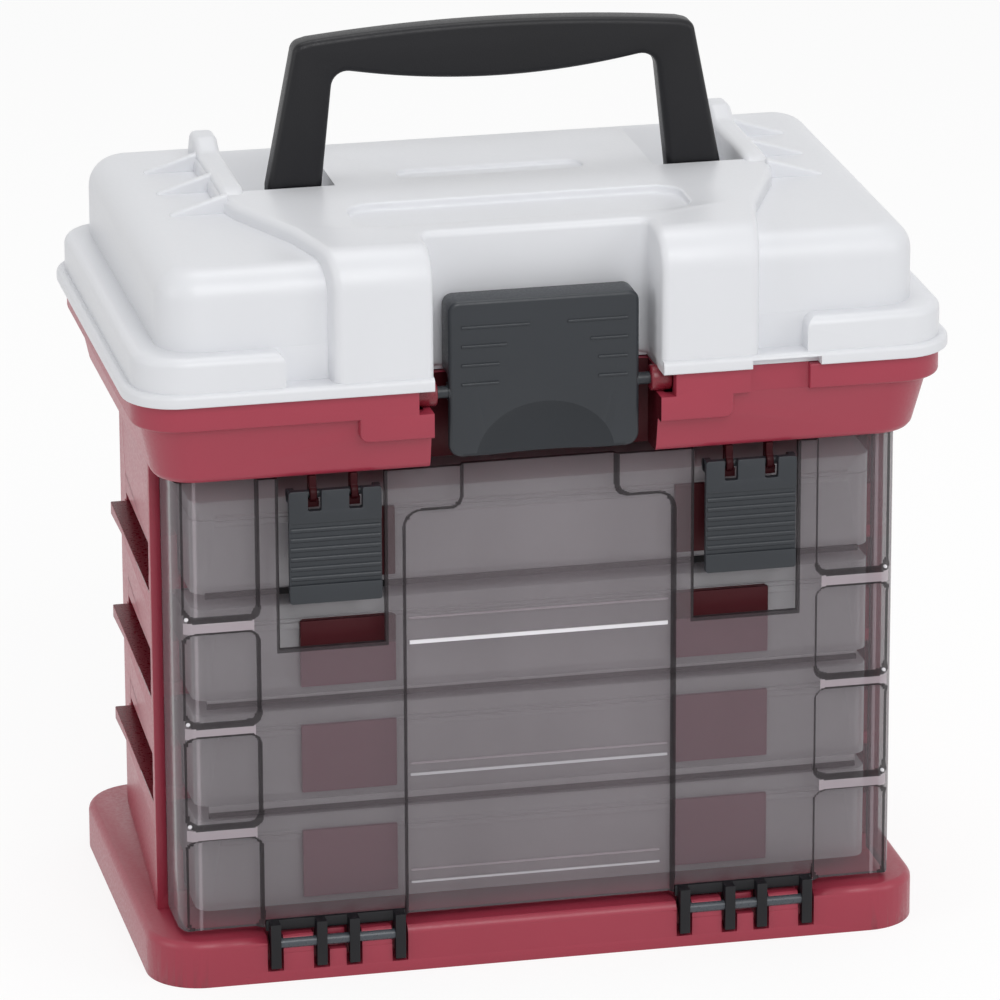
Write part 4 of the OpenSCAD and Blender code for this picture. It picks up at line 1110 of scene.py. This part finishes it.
def door_shell():
    """The door as one moulded sheet, its face pressed into bands, panel and windows."""
    path, levels = door_path(), door_levels()
    bm = bmesh.new()
    front, inner = [], []
    for level in levels:
        outs, ins = [], []
        for (x, y), (nx, ny), u in path:
            fade = 1 - ease(abs(u) - (DOOR_HALF - DOOR_CORNER), 8)
            rise = door_height(u, level) * fade
            top = DOOR_AXIS[1] + math.sqrt(DOOR_REACH ** 2 - (y - DOOR_AXIS[0]) ** 2)
            for row, out in ((outs, rise), (ins, rise - DOOR_SHEET)):
                row.append(bm.verts.new((x + nx * out, y + ny * out, min(level, top))))
        front.append(outs)
        inner.append(ins)
    rows, columns = len(levels) - 1, len(path) - 1

    def middle(j, i):
        """The middle of a cell, as its way along the path and its height."""
        return (path[i][2] + path[i + 1][2]) / 2, (levels[j] + levels[j + 1]) / 2

    def is_sheet(j, i):
        """Whether that cell is part of the door, outside the cut-outs round its latches."""
        if not (0 <= j < rows and 0 <= i < columns):
            return False
        u, z = middle(j, i)
        return not (CUT_OUT_X[0] < abs(u) < CUT_OUT_X[1] and z > CUT_OUT_LOW)

    for j in range(rows):
        for i in range(columns):
            if not is_sheet(j, i):
                continue
            cell = ((j, i), (j, i + 1), (j + 1, i + 1), (j + 1, i))
            outer = [front[q][p] for q, p in cell]
            tilt = (outer[1].co - outer[0].co).cross(outer[3].co - outer[0].co).normalized()
            ways = [path[p][1] for p in (i, i + 1)]
            facing = Vector((ways[0][0] + ways[1][0], ways[0][1] + ways[1][1], 0)).normalized()
            face = bm.faces.new(outer)
            # Painted light and shade by place: steep faces dark, ridges and corner strips light,
            # the panel lighter
            face.material_index = door_finish(*middle(j, i), abs(tilt.dot(facing)) < 0.93)
            back = bm.faces.new([inner[cell[c][0]][cell[c][1]] for c in (0, 3, 2, 1)])
            back.material_index = BACK
            for dj, di, a, b in ((0, -1, 0, 3), (0, 1, 1, 2), (-1, 0, 0, 1), (1, 0, 3, 2)):
                if not is_sheet(j + dj, i + di):
                    rim = bm.faces.new([side[q][p] for side, (q, p) in
                                        ((front, cell[a]), (front, cell[b]),
                                         (inner, cell[b]), (inner, cell[a]))])
                    # The cut rims take the painted shade too
                    rim.material_index = EDGE_SHADE
    return smooth(solid("door_shell", bm, *DOOR_SMOKE_AND_PAINTED_LIGHT), 50)


class BoxesOperator(bpy.types.Operator):
    """Makes the four clear utility boxes"""
    bl_idname = "tackle.boxes"
    bl_label = "Utility boxes"

    def execute(self, context):
        edge = context.scene.tackle_sizes.edge
        for k in range(1, 5):
            for part in ("tray", "lid", "dividers"):
                piece = cad_copy(f"box_{k}_{part}", f"box_{k}_{part}_clear", "box_clear",
                                 0 if part == "dividers" else edge * 0.8)
                placed(piece, f"box_{k}", "clear", f"box_{k}_{part}")
            low = BOX_LOW + BOX_PITCH * (k - 1)
            placed(smooth(round_edges(self.snaps(k, low), edge, 2)), f"box_{k}", "latch_red",
                   f"box_{k}_latches")
            if k > 1:
                placed(self.gap_shadow_line(k, low), f"box_{k}", "clear")
        return {"FINISHED"}

    def snaps(self, k, low):
        """The two snap latches of a box. Painted shade: the door's latches shade the upper ones, so
        box 4's and the top of box 3's take the darker red of the bay.
        """
        plain = [(3.2, 26.8, "snap_red")]
        shades = {3: [(3.2, 17.0, "snap_red"), (17.0, 26.2, "bay_red")],
                  4: [(3.2, 26.8, "bay_red")]}.get(k, plain)
        parts = []
        for s in SIDES:
            parts += [solid(f"box_{k}_snaps", side_block(s, 47, 79, -66.3, BOX_FACE_Y - 0.1,
                                                         low + z0, low + z1), mat)
                      for z0, z1, mat in shades]
            parts += [solid("stem", side_block(s, 47.6, 78.4, -64.5, -63.5, z, z + 2),
                            shades[-1][2]) for z in (low + 16, low + 24.5)]
        return joined(*parts)

    def gap_shadow_line(self, k, low):
        """Painted shadow: a dark strip for the shade in the gap between a box and the one below, on
        a clear web under the box.
        """
        line = 94.4 + 38.3 * (k - 3)
        half, back = 110, BOX_FACE_Y + 0.8
        strip = solid(f"box_{k}_foot", block((-half, BOX_FACE_Y, line - 1), (half, back, line + 1)),
                      "gap_dark")
        if line + 1 < low:
            joined(strip, solid("web", block((-half, BOX_FACE_Y, line + 1),
                                             (half, back, low + 0.2)), "box_clear"))
        return strip


# ---- floor, light and camera ----


def seen_rays(tree):
    """1 for rays that show a surface or the sky, 0 for the soft light between surfaces."""
    rays = tree.nodes.new("ShaderNodeLightPath")
    out = rays.outputs["Is Camera Ray"]
    for name in ("Is Glossy Ray", "Is Transmission Ray"):
        most = tree.nodes.new("ShaderNodeMath")
        most.operation = "MAXIMUM"
        tree.links.new(out, most.inputs[0])
        tree.links.new(rays.outputs[name], most.inputs[1])
        out = most.outputs["Value"]
    return out


def blend(tree, share, first, second, out):
    """Sends the first shader to the output, or the second where the share is 1."""
    mix = tree.nodes.new("ShaderNodeMixShader")
    tree.links.new(share, mix.inputs["Fac"])
    tree.links.new(first, mix.inputs[1])
    tree.links.new(second, mix.inputs[2])
    tree.links.new(mix.outputs["Shader"], out.inputs["Surface"])


def floor_white():
    """White floor: mostly its own light where it is seen, so the cabinet's shadow stays faint."""
    mat, tree, shader, _ = bare_material("floor_white")
    shader.inputs["Base Color"].default_value = (0.9, 0.9, 0.9, 1)
    shader.inputs["Roughness"].default_value = 0.9
    shader.inputs["Specular IOR Level"].default_value = 0.0
    glow = tree.nodes.new("ShaderNodeEmission")
    glow.inputs["Color"].default_value = (1, 1, 1, 1)
    glow.inputs["Strength"].default_value = 1.06
    share = tree.nodes.new("ShaderNodeMath")
    share.operation = "MULTIPLY"
    share.inputs[1].default_value = 0.80
    tree.links.new(seen_rays(tree), share.inputs[0])
    out = next(n for n in tree.nodes if n.bl_idname == "ShaderNodeOutputMaterial")
    blend(tree, share.outputs["Value"], shader.outputs["BSDF"], glow.outputs["Emission"], out)
    return mat


# Round lamps: name, place, diameter (metres) and watts; all point at the cabinet's middle
LAMPS = (("key_lamp", (0.1, -1.9, 1.5), 1.3, 17.3), ("fill_lamp", (1.6, -1.2, 0.8), 1.2, 6),
         ("side_lamp", (-1.7, -0.5, 0.7), 1.2, 5), ("top_lamp", (0.1, 0.2, 1.9), 1.0, 7))
LAMP_TARGET = (0, 0, 0.13)
# Light of the sky between surfaces, and where it is seen
SKY_SOFT, SKY_SEEN = 0.42, 1.0

# The camera: turns in radians, what it looks at and how far off, in mm, and its lens
CAMERA_YAW, CAMERA_PITCH, CAMERA_ROLL = 0.21479, 0.3267, -0.00384
CAMERA_TARGET, CAMERA_FAR = (2.474, 0, 136.285), 2361.7
CAMERA_LENS, CAMERA_SENSOR = 252, 36


class StageOperator(bpy.types.Operator):
    """Makes the pale floor, the soft light and the camera"""
    bl_idname = "tackle.stage"
    bl_label = "Floor, light and camera"

    def execute(self, context):
        scene = context.scene
        scene.view_settings.view_transform = "Standard"
        self.floor()
        self.world(scene)
        self.lamps()
        self.camera(scene)
        return {"FINISHED"}

    def floor(self):
        """A wide plane under the cabinet."""
        bm = bmesh.new()
        bmesh.ops.create_grid(bm, x_segments=1, y_segments=1, size=4000)
        mesh = bpy.data.meshes.new("pale_floor")
        bm.to_mesh(mesh)
        bm.free()
        mesh.transform(Matrix.Scale(MM, 4))
        floor = link(bpy.data.objects.new("pale_floor", mesh))
        mesh.materials.append(floor_white())

    def world(self, scene):
        """An even sky: white where it is seen, softer as a light."""
        world = bpy.data.worlds.new("studio")
        scene.world = world
        world.use_nodes = True
        tree = world.node_tree
        tree.nodes.clear()
        out = tree.nodes.new("ShaderNodeOutputWorld")
        skies = []
        for strength in (SKY_SOFT, SKY_SEEN):
            sky = tree.nodes.new("ShaderNodeBackground")
            sky.inputs["Color"].default_value = (1, 1, 1, 1)
            sky.inputs["Strength"].default_value = strength
            skies.append(sky.outputs["Background"])
        blend(tree, seen_rays(tree), *skies, out)

    def lamps(self):
        """The lamps round the cabinet."""
        for name, place, size, watts in LAMPS:
            lamp = bpy.data.lights.new(name, "AREA")
            lamp.shape = "DISK"
            lamp.size = size
            lamp.energy = watts
            obj = link(bpy.data.objects.new(name, lamp))
            obj.location = place
            aim = Vector(LAMP_TARGET) - Vector(place)
            obj.rotation_euler = aim.to_track_quat("-Z", "Y").to_euler()

    def camera(self, scene):
        """A camera in the place from which the cabinet was photographed."""
        yaw, pitch, roll = CAMERA_YAW, CAMERA_PITCH, CAMERA_ROLL
        back = Vector((-math.sin(yaw) * math.cos(pitch), -math.cos(yaw) * math.cos(pitch),
                       math.sin(pitch)))
        right = Vector((math.cos(yaw), -math.sin(yaw), 0))
        up = back.cross(right)
        right, up = (right * math.cos(roll) + up * math.sin(roll),
                     up * math.cos(roll) - right * math.sin(roll))
        lens = bpy.data.cameras.new("photo_camera")
        lens.sensor_width = CAMERA_SENSOR
        lens.lens = CAMERA_LENS
        lens.clip_end = 50
        cam = link(bpy.data.objects.new("photo_camera", lens))
        place = Vector(CAMERA_TARGET) * MM + back * (CAMERA_FAR * MM)
        turn = Matrix((right, up, back)).transposed()
        cam.matrix_world = Matrix.Translation(place) @ turn.to_4x4()
        scene.camera = cam


class TacklePanel(bpy.types.Panel):
    """Sizes, colours and the steps that make the cabinet"""
    bl_idname = "VIEW3D_PT_tackle"
    bl_label = "Tackle cabinet"
    bl_space_type = "VIEW_3D"
    bl_region_type = "UI"
    bl_category = "Tackle cabinet"

    def draw(self, context):
        for group in (context.scene.tackle_sizes, context.scene.tackle_colours):
            column = self.layout.column(align=True)
            for name in group.bl_rna.properties.keys():
                if name not in ("rna_type", "name"):
                    column.prop(group, name)
        for step in STEPS:
            self.layout.operator(step.bl_idname)


STEPS = (CaseOperator, BinOperator, LidOperator, HandleOperator, MainLatchOperator, DoorOperator,
         BoxesOperator, StageOperator)
CLASSES = (TackleSizes, TackleColours, *STEPS, TacklePanel)


def register():
    """Adds the classes and the settings of the scene."""
    for cls in CLASSES:
        bpy.utils.register_class(cls)
    bpy.types.Scene.tackle_sizes = PointerProperty(type=TackleSizes)
    bpy.types.Scene.tackle_colours = PointerProperty(type=TackleColours)


def unregister():
    """Takes them away again."""
    del bpy.types.Scene.tackle_colours
    del bpy.types.Scene.tackle_sizes
    for cls in reversed(CLASSES):
        bpy.utils.unregister_class(cls)


def main():
    """Makes every piece in order."""
    register()
    for step in STEPS:
        family, name = step.bl_idname.split(".")
        getattr(getattr(bpy.ops, family), name)()


if __name__ == "__main__":
    main()
